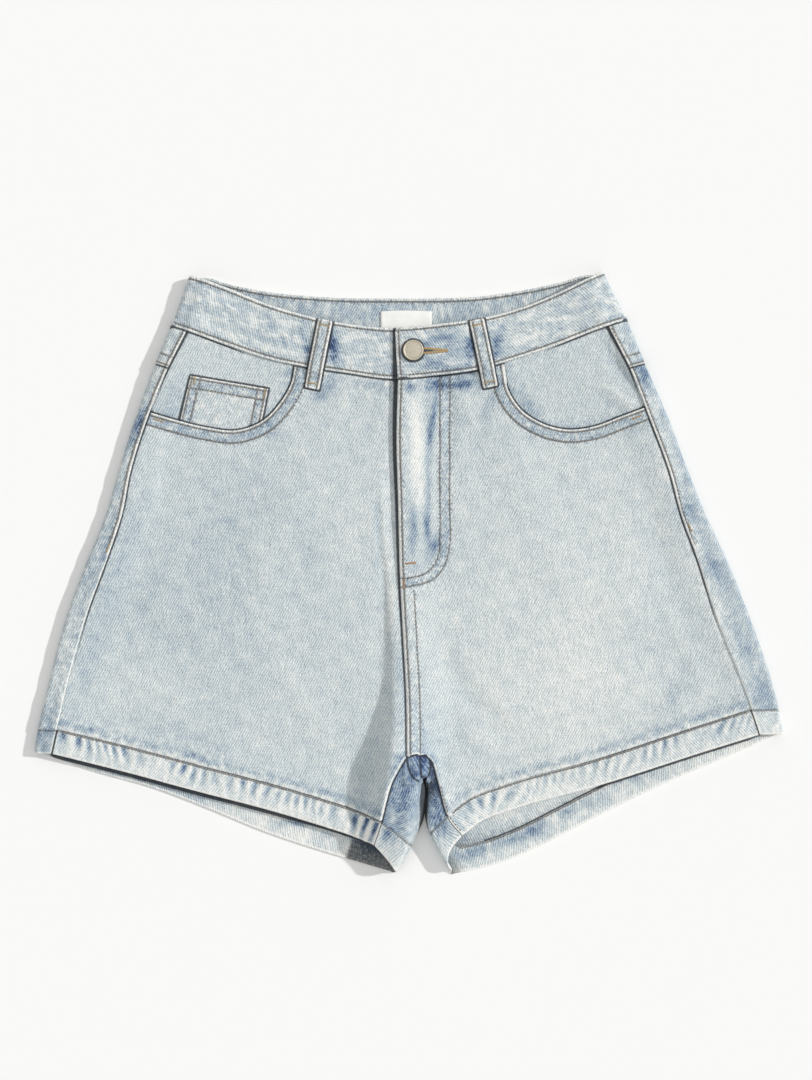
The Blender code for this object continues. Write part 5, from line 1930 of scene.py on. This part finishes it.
# %% Rows on the backs, yokes and hems
for side in SIDES:
    sign, name = side["sign"], side["name"]
    y = np.linspace(16 if side is RIGHT else 34, 176, 90)
    y = y[y < 168]
    sew("stitches_back_" + name, "back_panel_" + name, [row_through(seam_x(side, y) + sign * SIDE_ROW, y)])
    edge_row = sheets["yoke_panel_" + name][1][-1][: len(TURN) + 5, :2]
    rows = [stitch_row(edge_row + [0, off]) for off in YOKE_ROWS]
    y = np.linspace(172, float(waist_seam_y(side["band_seam"][0])) - 1, 20)
    rows.append(row_through(seam_x(side, y) + sign * SIDE_ROW, y))
    sew("stitches_yoke_" + name, "yoke_panel_" + name, rows)
    inside_line = back_hem_row(side, 0.06, 0)[TURNED + 2 : -TURNED - 2, :2]
    sew("stitches_hem_inside_" + name, "hem_turnup_" + name, [stitch_row(inside_line)], lift=1.95)
    front = hem_lines(side, np.linspace(0, 1, 120))[0]
    rows = [stitch_row(beside(front, -sign * 0.8)[2:-2])]
    if side is LEFT:
        rows.append(stitch_row(beside(edges_of(side)["inseam"], INSEAM_ROW)[-12:-2]))
    sew("stitches_hem_" + name, "hem_turnup_" + name, rows)

# %% Rows on the waistband
LOW_ROW, HIGH_ROW = BAND_ROW / BAND_WIDTH, 1 - BAND_ROW / BAND_WIDTH
rows = []
for share in (LOW_ROW, HIGH_ROW):
    for first, last in ((BAND_OVER_END + BAND_ROW, 172), (BAND_OVER_END - 4, -188)):
        x = np.linspace(first, last, 120)
        rows.append(row_through(x, band_front_y(x, share)))
share = np.linspace(LOW_ROW, HIGH_ROW, 20)
x = BAND_OVER_END - BAND_END_SLANT * share + BAND_ROW
rows.append(row_through(x, band_front_y(x, share)))
sew("stitches_band", "waistband_strip", rows)
x = np.linspace(-150, 134, 120)
inner_row = row_through(x, back_waist_y(x, HIGH_ROW))
sew("stitches_band_inside", "waistband_strip", [inner_row], lift=2.45)

# %% Rows on the coin pocket and belt loops
rows = [stitch_row(coin_grid[0, 3:-3, :2] + [-0.16 * off, -off]) for off in COIN_TOP_ROWS]
for column_, toward in ((0, 1), (-1, -1)):
    for off, first in zip(COIN_SIDE_ROWS, (1, 10)):
        rows.append(stitch_row(coin_grid[first:-3, column_, :2] + [toward * off, 0]))
sew("stitches_coin_pocket", "coin_pocket_patch", rows)
for name in LOOPS:
    grid = np.array(sheets["loop_strip_" + name][1])[3:-3, :, :2]
    rows = []
    for edge in (grid[:, 0], grid[:, -1]):
        inward = (grid[:, len(grid[0]) // 2] - edge) * LOOP_ROW / (LOOP_WIDTH / 2)
        rows.append(stitch_row(edge + inward))
    sew("stitches_loop_" + name, "loop_strip_" + name, rows)

# %% Bar tacks
# name, sheet, middles with their bearing and length
TACKS = (
    ("coin_pocket", "coin_pocket_patch", (((-174.4, 156.6), 80, 6.5), ((-117.6, 147.0), 80, 6.5))),
    ("mouth_left", "front_panel_left", (((185.6, 127.0), 22, 8.0),)),
    ("mouth_right", "front_panel_right", (((-203.5, 124.5), 165, 8.0),)),
    ("side_left", "back_panel_left", (((229.0, 37.0), 112, 7.0),)),
    ("side_right", "back_panel_right", (((-244.6, 20.5), 70, 7.0),)),
)
for name, ends in LOOPS.items():
    top, bottom = (np.array(end) for end in ends)
    run = (bottom - top) / np.linalg.norm(bottom - top)
    bearing = math.degrees(math.atan2(run[1], run[0])) + 90
    rows = [tack(middle, bearing, 8.5) for middle in (top + run * LOOP_TACK, bottom - run * LOOP_TACK)]
    sew("tacks_loop_" + name, "loop_strip_" + name, rows, gold_thread, width=0.55)
for name, sheet, places in TACKS:
    sew("tacks_" + name, sheet, [tack(*place) for place in places], gold_thread, width=0.55)
fly_tacks = [tack((1.6, 8.2), 5, 8.5), tack((-4.0, -8.6), 88, 6.5)]
sew("tacks_fly", "front_panel_left", fly_tacks, rust_thread, width=0.6)

# %% Buttonhole
hole_x = np.linspace(BUTTON_PLACE[0] + 6, BUTTONHOLE_END, 40)
hole_y = BUTTON_PLACE[1] - BUTTONHOLE_DROP
open_by = 1.9 * (1 - (hole_x - hole_x[0]) / (hole_x[-1] - hole_x[0])) ** 0.7 + 0.25
rows = []
for toward in (1, -1):
    at = np.column_stack([hole_x, hole_y + toward * open_by])
    rows.append((at, np.tile([0.25, 1.0], (len(at), 1)), 2.5))
turn = np.radians(np.linspace(-80, 80, 9))
at = np.column_stack([BUTTONHOLE_END + 0.6 + 0.8 * np.cos(turn), hole_y + 0.8 * np.sin(turn)])
rows.append((at, np.column_stack([np.cos(turn), np.sin(turn)]), 1.8))
sew("buttonhole_stitches", "waistband_strip", rows, gold_thread, width=0.7, height=0.8)
print("buttonhole from x", round(float(hole_x[0]), 1), "to", BUTTONHOLE_END)

# %% [markdown]
# ## Riding and replacing
# Nothing on the shorts moves by itself, so every piece rides on the one body. Each sheet hides the
# solid it stands for, and the size of its cut cloth is printed.

# %% Hide the solids and attach each piece
# piece, node, slot, what it rests on, its stitches. A name that ends in _ takes the side's name.
SIDE_SHEETS = (
    ("front_panel_", "front_", "washed_denim", "back_panel_", "stitches_front_"),
    ("facing_", "pocket_facing_", "facing_denim", "back_panel_", ""),
    ("back_panel_", "back_", "washed_denim", "floor", "stitches_back_"),
    ("yoke_panel_", "yoke_", "washed_denim", "floor", "stitches_yoke_"),
    ("hem_turnup_", "hem_", "hem_denim", "floor", "stitches_hem_"),
    ("loop_strip_", "belt_loop_", "washed_denim", "waistband_strip", "stitches_loop_"),
)
SHEETS = [
    [name + side if name.endswith("_") else name for name in row] for side in LOOPS for row in SIDE_SHEETS
]
SHEETS += [
    ("waistband_strip", "waistband", "washed_denim", "floor", "stitches_band"),
    ("coin_pocket_patch", "coin_pocket", "facing_denim", "facing_right", "stitches_coin_pocket"),
    ("label_tape", "waist_label", "label_cloth", "waistband_strip", ""),
]
for sheet, node, slot, rests_on, stitched in SHEETS:
    piece, rows = sheets[sheet]
    width, length, area = cut_of(rows, node.startswith("hem_"))
    width, length = math.ceil(width / MM) * MM, math.ceil(length / MM) * MM
    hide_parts(node)
    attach(piece, "root")
    print(f"{piece.name}: cut {width / MM:.0f} x {length / MM:.0f} mm, {area * 1e4:.0f} square cm")
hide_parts("button")
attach(button, "root")
for piece in stitches.values():
    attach(piece, "root")

# %% [markdown]
# ## Floor, light and camera
# A pale floor and one large soft sun from the wearer's left, with an even sky to fill the shadows.
# The camera looks straight down from head height, which keeps the outline true.

# %% Floor
mesh = bpy.data.meshes.new("floor")
half = 12.0
corners = [(-half, -half, 0), (half, -half, 0), (half, half, 0), (-half, half, 0)]
mesh.from_pydata(corners, [], [(0, 1, 2, 3)])
floor = bpy.data.objects.new("floor", mesh)
floor.location.z = -0.05 * MM
bpy.context.scene.collection.objects.link(floor)
paper, board, skin = blank_finish("paper")
skin.inputs["Base Color"].default_value = (0.90, 0.90, 0.893, 1)
skin.inputs["Roughness"].default_value = 0.9
skin.inputs["Specular IOR Level"].default_value = 0.0
mesh.materials.append(paper)
print("floor:", 2 * half, "m across")

# %% Light
# degrees, brightness of the sun, and of the sky at the horizon and overhead
SUN_ELEVATION, SUN_BEARING, SUN_WIDTH = 32.0, 16.0, 2.5
SUN_STRENGTH = 2.18
SKY_LOW, SKY_HIGH = 0.25, 0.912
lamp = bpy.data.lights.new("sun", "SUN")
lamp.energy = SUN_STRENGTH
lamp.angle = math.radians(SUN_WIDTH)
lamp.color = (1.0, 0.995, 0.985)
sun = bpy.data.objects.new("sun", lamp)
elevation, bearing = math.radians(SUN_ELEVATION), math.radians(SUN_BEARING)
level = math.cos(elevation)
to_sun = Vector((level * math.cos(bearing), level * math.sin(bearing), math.sin(elevation)))
sun.rotation_mode = "QUATERNION"
sun.rotation_quaternion = to_sun.to_track_quat("Z", "Y")
bpy.context.scene.collection.objects.link(sun)
world = bpy.data.worlds.new("sky")
world.use_nodes = True
board = Board(world.node_tree)
up = board.node("SeparateXYZ", {0: board.node("TexCoord").outputs["Generated"]}).outputs["Z"]
glow = board.fit(up, 0.0, 1.0, SKY_LOW, SKY_HIGH, smooth=False)
warm = board.times(glow, 0.99)
tint = board.node("CombineColor", {"Red": glow, "Green": glow, "Blue": warm}).outputs[0]
board.wire(tint, world.node_tree.nodes["Background"].inputs["Color"])
bpy.context.scene.world = world
bpy.context.scene.view_settings.view_transform = "Standard"
print("sun:", SUN_ELEVATION, "degrees up, strength", SUN_STRENGTH)

# %% Camera
# metres, millimetres
CAMERA_HEIGHT, FOCAL_LENGTH = 1.510, 61.45
lens = bpy.data.cameras.new("camera")
camera = bpy.data.objects.new("camera", lens)
bpy.context.scene.collection.objects.link(camera)
camera.location = (-2.4 * MM, 27.3 * MM, CAMERA_HEIGHT)
lens.sensor_width = 36.0
lens.lens = FOCAL_LENGTH
bpy.context.scene.camera = camera
print("camera height in m:", round(camera.location.z, 3))
